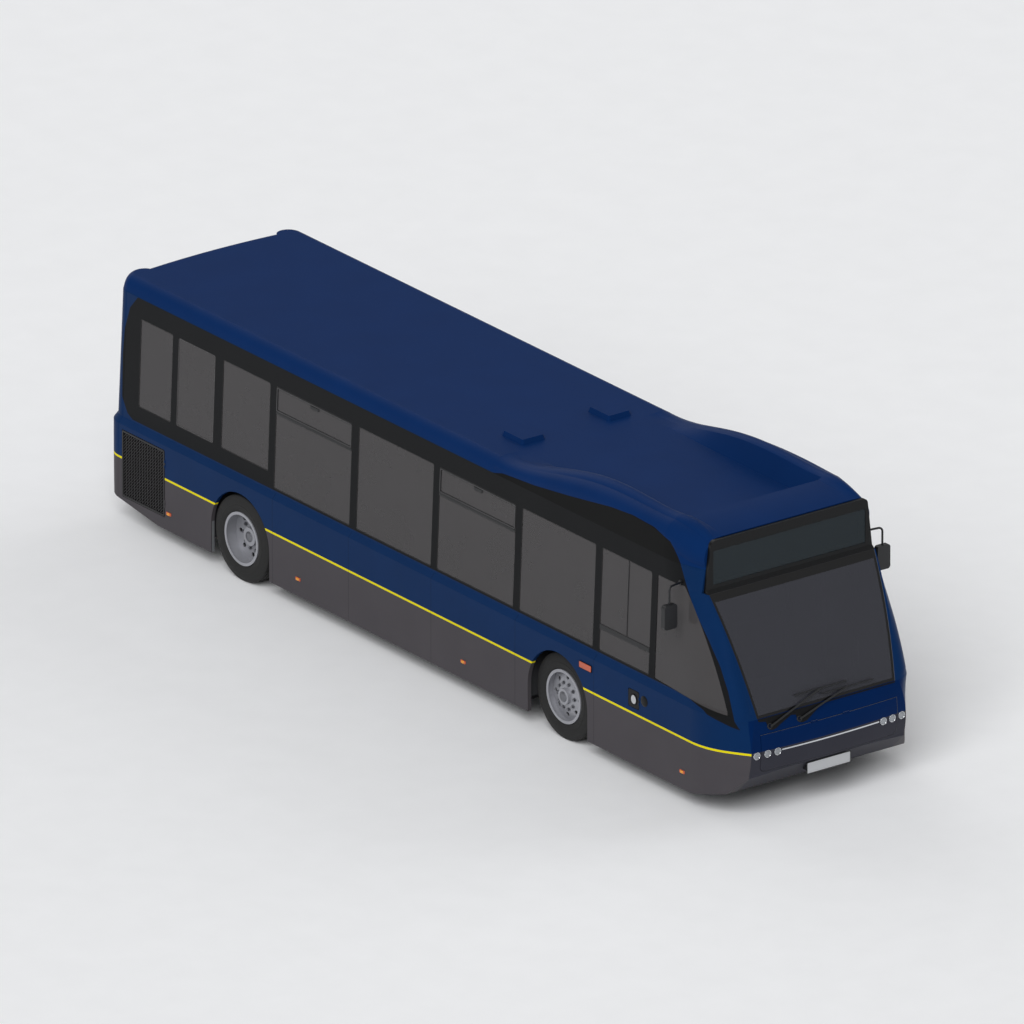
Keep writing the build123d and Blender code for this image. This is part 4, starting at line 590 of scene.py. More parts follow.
# Toughened glass tinted in the melt: dark, hard and smooth, with a dim view of the saloon
SIDE_GLASS = Finish("toughened_glass_tinted", "474546", 0.12, "window_glass", ior=1.52, gloss=0.2, alpha=0.88,
                    variation=0.02, grain_mm=400.0, relief_mm=0.05)
SCREEN_GLASS = ScreenGlass("laminated_screen_glass", "383940", 0.12, "screen_glass", ior=1.52, alpha=0.86,
                           variation=0.02, grain_mm=400.0, relief_mm=0.05)
DISPLAY_GLASS = replace(SIDE_GLASS, name="display_cover_glass", colour="222b30", slot="display_glass",
                        alpha=0.8, relief_mm=0.02)
# Gel-coated glass-fibre mouldings: deep black with a slight wave
GLOSS_BLACK = Finish("gelcoat_black_moulded", "0c0d0f", 0.36, "black_trim", gloss=0.2, grain_mm=30.0,
                     relief_mm=0.04)
# Extruded sealing rubber: dull and nearly even
SEAL_RUBBER = Finish("epdm_rubber_extruded", "161616", 0.7, "black_trim", grain_mm=1.5, relief_mm=0.05)
# Baked powder coat: a satin black with a fine orange peel
SATIN_BLACK = Finish("powder_coat_black", "17181a", 0.5, "mirror_black", grain_mm=3.0, relief_mm=0.04)
# Anodised window bead: a pale thin metal line
BEAD_ALLOY = Finish("anodised_aluminium_bead", "6c6b6c", 0.4, "rim_steel", metallic=0.6, grain_mm=5.0)
# Pressed glass with moulded flutes over a bright reflector
LAMP_GLASS = Finish("pressed_lamp_glass", "84888d", 0.12, "lamp_clear", ior=1.52, coat=0.6, grain_mm=9.0,
                    relief_mm=0.3, variation=0.2)
# Plated and polished: a mirror with sharp reflections
CHROME = Finish("chrome_plate_polished", "d4d6da", 0.1, "rim_steel", metallic=1.0, variation=0.02,
                grain_mm=50.0)
# Injection-moulded acrylic lamp covers with prism relief behind a hard gloss
LAMP_RED = Finish("acrylic_red_moulded", "8a1414", 0.18, "lamp_red", ior=1.49, coat=0.5, grain_mm=6.0,
                  relief_mm=0.25)
LAMP_AMBER = Finish("acrylic_amber_moulded", "e0901c", 0.2, "lamp_clear", ior=1.49, coat=0.5, grain_mm=5.0,
                    relief_mm=0.2)
LAMP_ORANGE = replace(LAMP_AMBER, name="acrylic_orange_moulded", colour="b8502e")
# Painted expanded steel; the wires get a lighter grey than the grille behind them, as a painted highlight
GRILLE_BLACK = Finish("expanded_steel_painted", "1a1a1c", 0.55, "grille_black", grain_mm=4.0, relief_mm=0.05)
GRILLE_WIRE = Finish("expanded_steel_painted_highlight", "2c2a2b", 0.5, "grille_black", metallic=0.2, grain_mm=4.0)
# Brazed fins: a dull metal with a deep close relief
RADIATOR_CORE = Finish("aluminium_fins_brazed", "2c2d30", 0.5, "radiator_core", metallic=0.6, grain_mm=3.0,
                       relief_mm=0.6)
# Extruded vinyl cord sewn into the cushion seams
PIPING = Finish("vinyl_piping_extruded", "14203c", 0.5, "seat_fabric", relief_mm=0.05)
# Brushed chassis black and rough castings, both mottled by use
CHASSIS_PAINT = Finish("chassis_black_brushed", "16171a", 0.6, "chassis_black", grain_mm=5.0, relief_mm=0.08,
                       variation=0.2)
CAST_IRON = Finish("cast_iron_sand_cast", "26272a", 0.7, "axle_iron", metallic=0.3, grain_mm=2.5,
                   relief_mm=0.2, variation=0.2)
# Stone-chip coating sprayed thick and pimpled
BOX_PAINT = Finish("stone_chip_coating_grey", "2a2b2e", 0.8, "box_grey", grain_mm=4.0, relief_mm=0.4,
                   variation=0.12)
# Rolled safety vinyl: a dull floor with small grit in it
FLOOR_VINYL = Finish("safety_vinyl_flecked", "3a3c40", 0.6, "floor_vinyl", grain_mm=3.0, relief_mm=0.1,
                     variation=0.15)
# Moulded bellows rubber: dull black
BELLOWS = Finish("bellows_rubber_moulded", "141415", 0.7, "bellows_rubber", relief_mm=0.08)
# Silver wheel enamel over steel, and zinc-plated nuts
WHEEL_SILVER = Finish("wheel_enamel_silver", "9c9da3", 0.35, "rim_steel", metallic=0.35, grain_mm=8.0,
                      relief_mm=0.05)
WHEEL_STEEL = Finish("nut_steel_zinc_plated", "7c7d82", 0.35, "rim_steel", metallic=0.9, grain_mm=3.0)
# Moulded plastics: grained dashboard, soft wheel rim and matt mirror shells
DASH_PLASTIC = Finish("abs_grained_charcoal", "232427", 0.6, "dash_plastic", relief_mm=0.1)
GRIP_PLASTIC = Finish("polyurethane_grip_black", "111214", 0.55, "wheel_plastic", grain_mm=1.5,
                      relief_mm=0.06)
MIRROR_PLASTIC = Finish("pp_moulded_black", "17181b", 0.5, "mirror_black", grain_mm=1.5, relief_mm=0.06)
# Pressed melamine boards: an even grey with a fine tooth
LAMINATE = Finish("melamine_panel_grey", "6d7075", 0.45, "partition_panel", relief_mm=0.03)
# Nylon dipped on steel tube: thick, bright and smooth
POLE_PAINT = Finish("nylon_coat_yellow", "d8b414", 0.35, "pole_paint", coat=0.3, grain_mm=6.0, relief_mm=0.04)
# Silvered glass: a true mirror
MIRROR_SILVER = Finish("silvered_mirror_glass", "c9cdd2", 0.03, "rim_steel", metallic=1.0, variation=0.0,
                       grain_mm=400.0, relief_mm=0.01)
# Woven moquette: a soft pile that catches light at its edges
MOQUETTE = WovenCloth("moquette_woven_blue", "1d2f57", 0.9, "seat_fabric", sheen=0.4, relief_mm=0.4,
                      variation=0.12)
# Pressed acrylic sheet: pale and even
PLATE_WHITE = Finish("acrylic_plate_white", "b4b6b9", 0.3, "partition_panel", grain_mm=20.0, variation=0.02)
# Rubber cured in a mould: dull, with sharp tread edges
TYRE_RUBBER = TyreRubber("tyre_rubber_cured", "151515", 0.75, "tyre_rubber", variation=0.1)
# Black display board with its lamps out
DISPLAY_BOARD = DotMatrix("unlit_matrix_board", "0d1114", 0.5, "black_trim")
# Plain paint of the studio's floor
STUDIO_PAINT = Finish("studio_floor_paint", "f6f7f9", 0.9, variation=0.01)


def show(name: str, data: bpy.types.ID) -> bpy.types.Object:
    """Put an object with its data into the scene.

    Args:
        name: Its name.
        data: Its mesh, lamp or camera.

    Returns:
        The new object.
    """
    made = bpy.data.objects.new(name, data)
    bpy.context.scene.collection.objects.link(made)
    return made


class Mesher:
    """A mesh in the making: closed plates, rings, turned forms and tubes joined in one piece."""

    def __init__(self, name: str) -> None:
        """Start an empty mesh."""
        self.name, self.bm = name, bmesh.new()

    def loop(self, outline: Outline, place: Matrix, w: float) -> Verts:
        """Add an outline's points at one height of a frame."""
        return [self.bm.verts.new(place @ Vector((u, v, w))) for u, v in outline]

    def band(self, first: Verts, second: Verts) -> None:
        """Join two loops of the same count with four-sided faces."""
        for i, j in zip(range(len(first)), [*range(1, len(first)), 0]):
            self.bm.faces.new((first[i], first[j], second[j], second[i]))

    def plate(self, outline: Outline, place: Matrix, depth: float, start: float = 0.0,
              shrink: float = 0.0) -> "Mesher":
        """Add a closed plate.

        Args:
            outline: Its outline.
            place: The frame that it lies in.
            depth: Its thickness along the frame's Z.
            start: Where its back lies.
            shrink: Share by which its front face is smaller, as a chamfer.

        Returns:
            This mesh, so that calls can follow each other.
        """
        mu, mv = (sum(p[axis] for p in outline) / len(outline) for axis in (0, 1))
        front = [(mu + (u - mu) * (1 - shrink), mv + (v - mv) * (1 - shrink)) for u, v in outline]
        low, high = self.loop(outline, place, start), self.loop(front, place, start + depth)
        self.bm.faces.new(high)
        self.bm.faces.new(low[::-1])
        self.band(low, high)
        return self

    def ring(self, outer: Outline, inner: Outline, place: Matrix, depth: float,
             start: float = GAP) -> "Mesher":
        """Add a flat frame between two outlines.

        Args:
            outer: Its outer outline.
            inner: Its inner outline, with as many points.
            place: The frame that it lies in.
            depth: Its thickness along the frame's Z.
            start: Where its back lies.

        Returns:
            This mesh.
        """
        loops = [self.loop(outline, place, w) for outline, w in (
            (outer, start), (outer, start + depth), (inner, start + depth), (inner, start))]
        for i in range(4):
            self.band(loops[i], loops[(i + 1) % 4])
        return self

    def rim(self, size: Pair, border: float, radii: Pair, place: Matrix, depth: float,
            start: float = GAP) -> "Mesher":
        """Add a flat round-cornered frame.

        Args:
            size: Its outer width and height.
            border: How wide it is on each side.
            radii: Its outer and inner corner radius.
            place: The frame that it lies in.
            depth: Its thickness along the frame's Z.
            start: Where its back lies.

        Returns:
            This mesh.
        """
        inner = rounded(size[0] - 2 * border, size[1] - 2 * border, radii[1])
        return self.ring(rounded(*size, radii[0]), inner, place, depth, start)

    def turned(self, outline: Outline, place: Matrix, steps: int = 32, closed: bool = False) -> "Mesher":
        """Add a form turned about the frame's Z.

        Args:
            outline: Points as radius and height.
            place: The frame.
            steps: Sides of the turning.
            closed: True where the outline is a loop that stays off the axis.

        Returns:
            This mesh.
        """
        rows = [self.loop(ellipse(radius, radius, steps) if radius else [(0, 0)], place, w)
                for radius, w in outline]
        for first, second in list(zip(rows, rows[1:])) + ([(rows[-1], rows[0])] if closed else []):
            if len(first) == len(second):
                self.band(first, second)
            else:
                tip, rim = (first[0], second) if len(first) == 1 else (second[0], first)
                for i in range(steps):
                    self.bm.faces.new((rim[i], rim[(i + 1) % steps], tip))
        return self

    def tube(self, path: list[Vector], radius: float, sides: int = 8) -> "Mesher":
        """Add a round bar along a path, closed at both ends.

        Args:
            path: The points of its middle line.
            radius: Its radius.
            sides: Its facets round the line.

        Returns:
            This mesh.
        """
        rows, side = [], None
        for i, point in enumerate(path):
            ahead = (path[min(i + 1, len(path) - 1)] - path[max(i - 1, 0)]).normalized()
            side = side or ahead.orthogonal()
            side = (side - ahead * side.dot(ahead)).normalized()
            place = basis(ahead.cross(side), ahead, point)
            rows.append(self.loop(ellipse(radius, radius, sides), place, 0.0))
        for first, second in zip(rows, rows[1:]):
            self.band(first, second)
        self.bm.faces.new(rows[0][::-1])
        self.bm.faces.new(rows[-1])
        return self

    def done(self, finish: Finish, body: str, bevel: float = 0.0, origin: Vector | None = None,
             replaces: str = "") -> bpy.types.Object:
        """Finish the mesh: shading, material and the body that carries it.

        Args:
            finish: Its finish.
            body: The body that it rides on.
            bevel: Width of the rounded edges, or none.
            origin: The object's own origin, for patterns that turn about a point.
            replaces: The CAD node that it takes the place of, or none.

        Returns:
            The new object.
        """
        bmesh.ops.recalc_face_normals(self.bm, faces=self.bm.faces[:])
        for face in self.bm.faces:
            face.smooth = True
        for edge in self.bm.edges:
            sharp = len(edge.link_faces) == 2 and edge.calc_face_angle() > math.radians(SHARP_DEGREES)
            edge.smooth = not sharp
        if origin:
            bmesh.ops.translate(self.bm, verts=self.bm.verts[:], vec=-origin)
        mesh = bpy.data.meshes.new(self.name)
        self.bm.to_mesh(mesh)
        self.bm.free()
        made = show(self.name, mesh)
        made.location = origin or (0, 0, 0)
        if bevel:
            rounding = made.modifiers.new("rounded_edges", "BEVEL")
            rounding.width, rounding.segments, rounding.limit_method = bevel, 2, "ANGLE"
            rounding.angle_limit = math.radians(BEVEL_DEGREES)
        mesh.materials.append(finish.material())
        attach(made, body)
        if replaces:
            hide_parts(replaces)
        return made


class Skin:
    """The outer faces of some CAD nodes, to find places on them and to lay thin pieces over them."""

    LOOK_FROM = 0.6

    def __init__(self, *nodes: str) -> None:
        """Gather the nodes' faces.

        Args:
            nodes: The nodes' names.
        """
        points, faces = [], []
        for name in nodes:
            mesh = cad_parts[name].data
            base = len(points)
            points += [v.co.copy() for v in mesh.vertices]
            faces += [[base + i for i in p.vertices] for p in mesh.polygons]
        self.tree = BVHTree.FromPolygons(points, faces)

    def at(self, place: Matrix, u: float, v: float) -> Vector:
        """Find the skin under a point of a frame, looking back along the frame's Z.

        Args:
            place: The frame, outside the skin.
            u: Place along the frame's X.
            v: Place along the frame's Y.

        Returns:
            The point on the skin.
        """
        point = self.tree.ray_cast(place @ Vector((u, v, self.LOOK_FROM)), -(place.to_3x3() @ UPWARD))[0]
        if point is None:
            raise ValueError(f"nothing under {u:.3f}, {v:.3f}")
        return point

    def lay(self, sheet: Mesher, outline: Outline, place: Matrix, lift: float, thickness: float,
            step: float = 0.04, holes: tuple[Triple, ...] = ()) -> Mesher:
        """Lay a thin closed sheet over the skin.

        Args:
            sheet: The mesh that it goes into.
            outline: Its outline in the frame.
            place: The frame, outside the skin.
            lift: The space under it.
            thickness: Its own thickness.
            step: Greatest size of one facet.
            holes: Round holes as two places and a radius.

        Returns:
            The mesh.
        """
        patch = bmesh.new()
        patch.faces.new([patch.verts.new((u, v, 0)) for u, v in outline])
        for axis in (0, 1):
            values = [p[axis] for p in outline]
            low, size = min(values), max(values) - min(values)
            count = max(1, math.ceil(size / step))
            for i in range(1, count):
                cut = low + size * i / count
                bmesh.ops.bisect_plane(patch, geom=patch.verts[:] + patch.edges[:] + patch.faces[:],
                                       plane_co=Vector((cut, cut, 0)), plane_no=Vector((1 - axis, axis, 0)))
        gone = [f for f in patch.faces if any(
            (f.calc_center_median().xy - Vector((u, v))).length < r for u, v, r in holes)]
        bmesh.ops.delete(patch, geom=gone, context="FACES")
        out = place.to_3x3() @ UPWARD
        lows, highs = {}, {}
        for vert in patch.verts:
            point = self.at(place, vert.co.x, vert.co.y)
            lows[vert] = sheet.bm.verts.new(point + out * lift)
            highs[vert] = sheet.bm.verts.new(point + out * (lift + thickness))
        for face in patch.faces:
            sheet.bm.faces.new([highs[v] for v in face.verts])
            sheet.bm.faces.new([lows[v] for v in face.verts][::-1])
        for edge in patch.edges:
            if len(edge.link_faces) == 1:
                a, b = edge.verts
                sheet.bm.faces.new((lows[a], lows[b], highs[b], highs[a]))
        patch.free()
        return sheet


class Dressing:
    """Finishes for the carried-over CAD nodes."""

    FINISHES: dict[str, Finish] = {name: finish for finish, names in (
        (COACH_ENAMEL, "left_wall right_wall cab_right_side cab_left_side"),
        (TAIL_ENAMEL, "roof roof_hatches front_roof tail_end engine_lid"),
        (FRONT_ENAMEL, "front_panel front_flap"),
        (SIDE_GLASS, "side_glass rear_glass door_rear_glass door_front_glass"),
        (SCREEN_GLASS, "windscreen"), (DISPLAY_GLASS, "destination_glass"),
        (GLOSS_BLACK, "destination_box door_rear_leaf door_front_leaf filler_flap"),
        (BOX_PAINT, "door_gear radiator_box wheel_boxes tanks"),
        (LAMP_GLASS, "headlamps_outer headlamps_inner"), (LAMP_RED, "tail_lamps"),
        (GRILLE_BLACK, "radiator_door"), (RADIATOR_CORE, "radiator"), (FLOOR_VINYL, "floor"),
        (CHASSIS_PAINT, "chassis"), (BELLOWS, "suspension"),
        (CAST_IRON, "engine front_axle rear_axle knuckle_left knuckle_right"),
        (TYRE_RUBBER, "front_tyre_left front_tyre_right rear_tyres_left rear_tyres_right"),
        (WHEEL_SILVER, "front_wheel_left front_wheel_right rear_wheels_left rear_wheels_right"),
        (DASH_PLASTIC, "dashboard"), (GRIP_PLASTIC, "steering_wheel"),
        (MOQUETTE, "driver_seat passenger_seats"), (LAMINATE, "cab_partition cab_door"),
        (POLE_PAINT, "grab_poles"), (MIRROR_PLASTIC, "mirrors"), (SATIN_BLACK, "wiper_right wiper_left"),
    ) for name in names.split()}

    def dress(self) -> None:
        """Give each node its finish."""
        for name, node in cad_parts.items():
            node.data.materials.clear()
            node.data.materials.append(self.FINISHES[name].material())
        LOG.info("dressed %d frame nodes", len(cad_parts))


@dataclass
class WindowFittings:
    """Seals, hopper vents, bars and catches of the side windows."""

    seal_width: float = 0.006
    bead: float = 0.003
    vent_top: float = WINDOW_TOP - 0.008
    vent_foot: float = 2.010
    vent_border: float = 0.018
    vent_bar: float = 0.026
    # Width, height and corner radius of a catch
    catch: Triple = (0.15, 0.034, 0.008)
    catch_z: float = WINDOW_TOP - 0.046
    vents: tuple[int, ...] = (3, 5)
    beaded: tuple[int, ...] = (1,)
    bar_height: float = 0.050
    driver_bar_z: float = 1.440
    driver_split_x: float = 3.497
    driver_split_width: float = 0.010

    def build(self) -> None:
        """Fit out both sides."""
        for side in Side:
            self.seals(side)
            self.hoppers(side)
        self.driver_bars()
        LOG.info("window fittings: seals, hopper vents, catches and the driver's bars")

    def seals(self, side: Side) -> None:
        """Fit a rubber seal inside each opening.

        Args:
            side: The side of the bus.
        """
        made = Mesher(f"window_seals_{side.name.lower()}")
        for start, end, sill in WINDOWS + ((DRIVER_WINDOW,) if side is Side.RIGHT else ()):
            place = side.wall((start + end) / 2, (sill + WINDOW_TOP) / 2, GLASS_DEPTH)
            size = (end - start - 0.001, WINDOW_TOP - sill)
            made.rim(size, self.seal_width, (0.0245, 0.019), place, 0.0046, 0.0002)
        made.done(SEAL_RUBBER, "body")

    def hoppers(self, side: Side) -> None:
        """Make the frames, divider bars, pale beads and catches of the opening vents.

        Args:
            side: The side of the bus.
        """
        tag = side.name.lower()
        frames, beads, catches = (Mesher(f"{n}_{tag}") for n in ("vent_frames", "vent_beads", "vent_catches"))
        for index in self.vents:
            start, end, _ = WINDOWS[index]
            x, width, height = (start + end) / 2, end - start - 0.014, self.vent_top - self.vent_foot
            place = side.wall(x, (self.vent_foot + self.vent_top) / 2, GLASS_DEPTH)
            frames.rim((width, height), self.vent_border, (0.02, 0.01), place, 0.008)
            beads.rim((width - 0.016, height - 0.016), self.bead, (0.014, 0.012), place, 0.0022, 0.0078)
            bar = side.wall(x, self.vent_foot - 0.016, GLASS_DEPTH)
            frames.plate(rounded(width, self.vent_bar, 0.003), bar, 0.007, GAP)
            head = side.wall(x, self.catch_z, GLASS_DEPTH)
            catches.plate(rounded(*self.catch), head, 0.011, GAP, shrink=0.1)
        for index in self.beaded:
            start, end, sill = WINDOWS[index]
            place = side.wall((start + end) / 2, (sill + WINDOW_TOP) / 2, GLASS_DEPTH)
            size = (end - start - 0.016, WINDOW_TOP - sill - 0.016)
            beads.rim(size, self.bead, (0.018, 0.015), place, 0.004)
        frames.done(SATIN_BLACK, "body", 0.001)
        beads.done(BEAD_ALLOY, "body")
        catches.done(SATIN_BLACK, "body", 0.002)

    def driver_bars(self) -> None:
        """Make the cross bar and the upright split of the driver's sliding window."""
        start, end, _ = DRIVER_WINDOW
        made = Mesher("driver_window_bars")
        place = Side.RIGHT.wall((start + end) / 2, self.driver_bar_z, GLASS_DEPTH)
        made.plate(rounded(end - start - 0.013, self.bar_height, 0.004), place, 0.008, GAP)
        foot = self.driver_bar_z + self.bar_height / 2
        upright = Side.RIGHT.wall(self.driver_split_x, (self.vent_top + foot) / 2, GLASS_DEPTH)
        made.plate(rounded(self.driver_split_width, self.vent_top - foot, 0.003), upright, 0.006, GAP)
        made.done(SATIN_BLACK, "body", 0.001)


@dataclass
class FrontFittings:
    """Cowl, lamps, bright strip, blank plate and spindle grommets of the front."""

    outer_lamp: float = 0.914
    inner_lamps: tuple[float, ...] = (0.787, 0.667)
    lamp_z: float = 0.693
    nose_x: float = 5.356
    nose_swell: float = 0.05
    nose_half: float = 0.977
    strip_half: float = 0.612
    strip_zs: Pair = (0.694, 0.708)
    plate_size: Pair = (0.54, 0.112)
    plate_z: float = 0.400
    plate_x: float = 5.300
    plate_rim: float = 0.008
    bracket_half: Pair = (0.235, 0.05)
    pivots: tuple[Pair, ...] = ((-0.734, 0.969), (-0.370, 0.965))
    pivot_hole: float = 0.022
    pivot_slope: float = 19.0

    COWL = ((-0.868, 1.058), (-0.86, 1.035), (-0.775, 1.020), (-0.745, 0.935), (-0.715, 0.925),
            (-0.66, 0.935), (-0.60, 0.965), (-0.46, 1.020), (-0.405, 1.012), (-0.385, 0.935), (-0.335, 0.922),
            (-0.28, 0.932), (-0.22, 0.965), (-0.10, 1.028), (-0.02, 1.045), (0.80, 1.045), (0.862, 1.045),
            (0.868, 1.058))
    # Turned sections of a lamp's lens and bezel and of a grommet, as radius and height
    LENS = ((0.0, 0.009), (0.012, 0.0085), (0.024, 0.0062), (0.033, 0.002), (0.0345, -0.001), (0.0, -0.001))
    BEZEL = ((0.0345, -0.006), (0.0345, 0.0025), (0.0365, 0.0045), (0.0395, 0.004), (0.0425, -0.002),
             (0.0428, -0.008))
    GROMMET = ((0.0185, -0.004), (0.0185, 0.005), (0.022, 0.007), (0.030, 0.004), (0.033, -0.004))

    def build(self) -> None:
        """Fit out the front."""
        self.skin = Skin("front_panel", "front_flap")
        self.face = Facing.FRONT.at(5.2, 0.0, 0.0)
        holes = tuple((y, z, self.pivot_hole) for y, z in self.pivots)
        cowl = self.skin.lay(Mesher("screen_cowl"), self.COWL, self.face, 0.0006, 0.002, 0.012, holes)
        cowl.done(GLOSS_BLACK, "body")
        half, (low, high) = self.strip_half, self.strip_zs
        strip = ((-half, low), (half, low), (half, high), (-half, high))
        bright = Skin("front_flap").lay(Mesher("bright_strip"), strip, self.face, GAP, 0.004)
        bright.done(CHROME, "front_flap")
        self.lamps()
        self.plate()
        self.grommets()
        LOG.info("front fittings: cowl, bright strip, lamps, blank plate and spindle grommets")

    def lamps(self) -> None:
        """Put a domed lens and a bright bezel on each round lamp."""
        for body, ys in (("body", (self.outer_lamp,)), ("front_flap", self.inner_lamps)):
            lenses, bezels = Mesher(f"lamp_lenses_{body}"), Mesher(f"lamp_bezels_{body}")
            for y in [s * v for v in ys for s in (-1, 1)]:
                nose = self.nose_x - self.nose_swell * (y / self.nose_half) ** 2
                lamp = Facing.FRONT.at(nose, y, self.lamp_z)
                lenses.turned(self.LENS, lamp, 28)
                bezels.turned(self.BEZEL, lamp, 28, True)
            lenses.done(LAMP_GLASS, body)
            bezels.done(CHROME, body)

    def plate(self) -> None:
        """Hang a blank plate on a folded bracket under the front, with its dark rim."""
        width, height = self.plate_size
        place = Facing.FRONT.at(self.plate_x, 0.0, self.plate_z)
        half, rise = self.bracket_half
        bracket, rows = Mesher("front_plate_bracket"), []
        for y in (-half, half):
            row = [Vector((self.plate_x, y, self.plate_z + v)) for v in (-rise, rise)]
            row += [self.skin.at(self.face, y, self.plate_z + v) + AHEAD * 0.0005 for v in (rise, -rise)]
            rows.append([bracket.bm.verts.new(p) for p in row])
        bracket.band(*rows)
        bracket.bm.faces.new(rows[0][::-1])
        bracket.bm.faces.new(rows[1])
        bracket.done(SATIN_BLACK, "body", 0.002)
        rim = Mesher("front_plate_rim")
        outer = (width + 2 * self.plate_rim, height + 2 * self.plate_rim)
        rim.rim(outer, self.plate_rim, (0.012, 0.008), place, 0.006, 0.0)
        rim.done(SATIN_BLACK, "body", 0.001)
        blank = Mesher("front_plate_blank")
        blank.plate(rounded(width - 0.001, height - 0.001, 0.0078), place, 0.0035, 0.0002)
        blank.done(PLATE_WHITE, "body")

    def grommets(self) -> None:
        """Fit rubber collars round the wiper spindles."""
        made = Mesher("spindle_grommets")
        slope = math.radians(self.pivot_slope)
        out = Vector((math.cos(slope), 0, math.sin(slope)))
        for y, z in self.pivots:
            place = basis(out.cross(LEFTWARD), out, Vector((self.skin.at(self.face, y, z).x, y, z)))
            made.turned(self.GROMMET, place, 24, True)
        made.done(SEAL_RUBBER, "body")


@dataclass
class SideFittings:
    """Markers, repeaters, filler details and grille mesh on the two sides."""

    marker_xs: tuple[float, ...] = (-4.185, -1.963, 0.845, 4.517)
    marker_z: float = 0.350
    # Width, height and corner radius of a marker's foot and of its lens
    marker_foot: Triple = (0.084, 0.036, 0.008)
    marker_lens: Triple = (0.046, 0.030, 0.007)
    repeater: Pair = (2.903, 0.966)
    repeater_size: Pair = (0.21, 0.076)
    repeater_rim: float = 0.005
    filler: Pair = (3.705, 0.868)
    cup: Pair = (0.044, 0.050)
    cup_rim: Pair = (0.05368, 0.060)
    cap: Pair = (3.881, 0.903)
    grille: tuple[float, float, float, float] = (-4.971, -4.280, 0.315, 1.005)
    wire_pitch: float = 0.034
    wire_width: float = 0.006
    shortest_wire: float = 0.02
    grille_rim: float = 0.019

    CAP = ((0.0, 0.011), (0.030, 0.010), (0.046, 0.007), (0.058, 0.0015), (0.058, GAP), (0.0, GAP))

    def build(self) -> None:
        """Fit out both sides."""
        for side in Side:
            self.markers(side)
            self.repeaters(side)
        self.filler_cup()
        self.mesh()
        LOG.info("side fittings: markers, repeaters, filler details and grille mesh")

    def markers(self, side: Side) -> None:
        """Make the two-tone marker lamps along the skirt.

        Args:
            side: The side of the bus.
        """
        tag = side.name.lower()
        feet, lenses = Mesher(f"marker_feet_{tag}"), Mesher(f"marker_lenses_{tag}")
        for x in self.marker_xs:
            place = side.wall(x, self.marker_z)
            feet.plate(rounded(*self.marker_foot), place, 0.008, GAP, shrink=0.06)
            lenses.plate(rounded(*self.marker_lens), place, 0.009, 0.0075, shrink=0.2)
        feet.done(LAMP_ORANGE, "body", 0.0015)
        lenses.done(LAMP_AMBER, "body", 0.0015)

    def repeaters(self, side: Side) -> None:
        """Make the direction repeater behind the front wheel arch.

        Args:
            side: The side of the bus.
        """
        tag, place = side.name.lower(), side.wall(*self.repeater)
        rim = Mesher(f"repeater_rim_{tag}")
        rim.rim(self.repeater_size, self.repeater_rim, (0.012, 0.008), place, 0.009)
        rim.done(GLOSS_BLACK, "body", 0.0015)
        # The lens keeps half a millimetre clear of the rim on each side
        width, height = (size - 2 * self.repeater_rim - 0.001 for size in self.repeater_size)
        lens = rounded(width, height, 0.0075)
        Mesher(f"repeater_lens_{tag}").plate(lens, place, 0.012, GAP, 0.04).done(LAMP_ORANGE, "body", 0.002)

    def filler_cup(self) -> None:
        """Make the bright oval in the black flap, and the black cap ahead of it."""
        flap = Side.RIGHT.wall(*self.filler)
        oval, rim = ellipse(*self.cup, 28), ellipse(*self.cup_rim, 28)
        Mesher("filler_cup_rim").ring(rim, oval, flap, 0.006).done(GLOSS_BLACK, "filler_flap", 0.001)
        Mesher("filler_cup").plate(oval, flap, 0.004, GAP, 0.1).done(PLATE_WHITE, "filler_flap", 0.001)
        Mesher("service_cap").turned(self.CAP, Side.RIGHT.wall(*self.cap)).done(GLOSS_BLACK, "body")

    def mesh(self) -> None:
        """Lay slanting wires over the radiator grille, drawn coarser than the real mesh so that they show."""
        start, end, foot, top = self.grille
        width, height = end - start, top - foot
        place = Side.RIGHT.wall((start + end) / 2, (foot + top) / 2)
        made = Mesher("grille_mesh")
        span = (width + height) / 2
        off = Vector((-1, 1)).normalized() * self.wire_width / 2
        for i in range(1, int(2 * span / self.wire_pitch)):
            c = i * self.wire_pitch - span
            low, high = max(-width / 2, -height / 2 - c), min(width / 2, height / 2 - c)
            if high - low > self.shortest_wire:
                a, b = Vector((low, low + c)), Vector((high, high + c))
                made.plate([a - off, b - off, b + off, a + off], place, 0.003, -0.0037)
        # The wires' lighter grey is a painted highlight where light catches them
        made.done(GRILLE_WIRE, "radiator_door")
        outer = (width + 2 * self.grille_rim, height + 2 * self.grille_rim)
        rim = Mesher("grille_rim").rim(outer, self.grille_rim, (0.02, 0.008), place, 0.003)
        rim.done(GRILLE_BLACK, "radiator_door", 0.001)


@dataclass
class RearFittings:
    """Louvres and handle of the engine lid."""

    louvres: tuple[float, ...] = (0.560, 0.595, 0.630, 0.665, 0.700)
    louvre_half: float = 0.52
    louvre_gap: float = 0.02
    louvre_height: float = 0.016
    handle: Triple = (0.16, 0.030, 0.010)
    handle_z: float = 0.500

    def build(self) -> None:
        """Fit out the tail."""
        skin, slats = Skin("engine_lid"), Mesher("lid_louvres")
        face = Facing.REAR.at(-5.3, 0.0, 0.0)
        for low in self.louvres:
            for start in (-self.louvre_half, self.louvre_gap):
                end, high = start + self.louvre_half - self.louvre_gap, low + self.louvre_height
                slat = ((start, low), (end, low), (end, high), (start, high))
                skin.lay(slats, slat, face, GAP, 0.007, 0.1)
        slats.done(SATIN_BLACK, "engine_lid", 0.002)
        grip = Facing.REAR.at(*skin.at(face, 0.0, self.handle_z))
        made = Mesher("lid_handle").plate(rounded(*self.handle), grip, 0.009, 0.0005, shrink=0.08)
        made.done(SATIN_BLACK, "engine_lid", 0.002)
        LOG.info("rear fittings: lid louvres and handle")


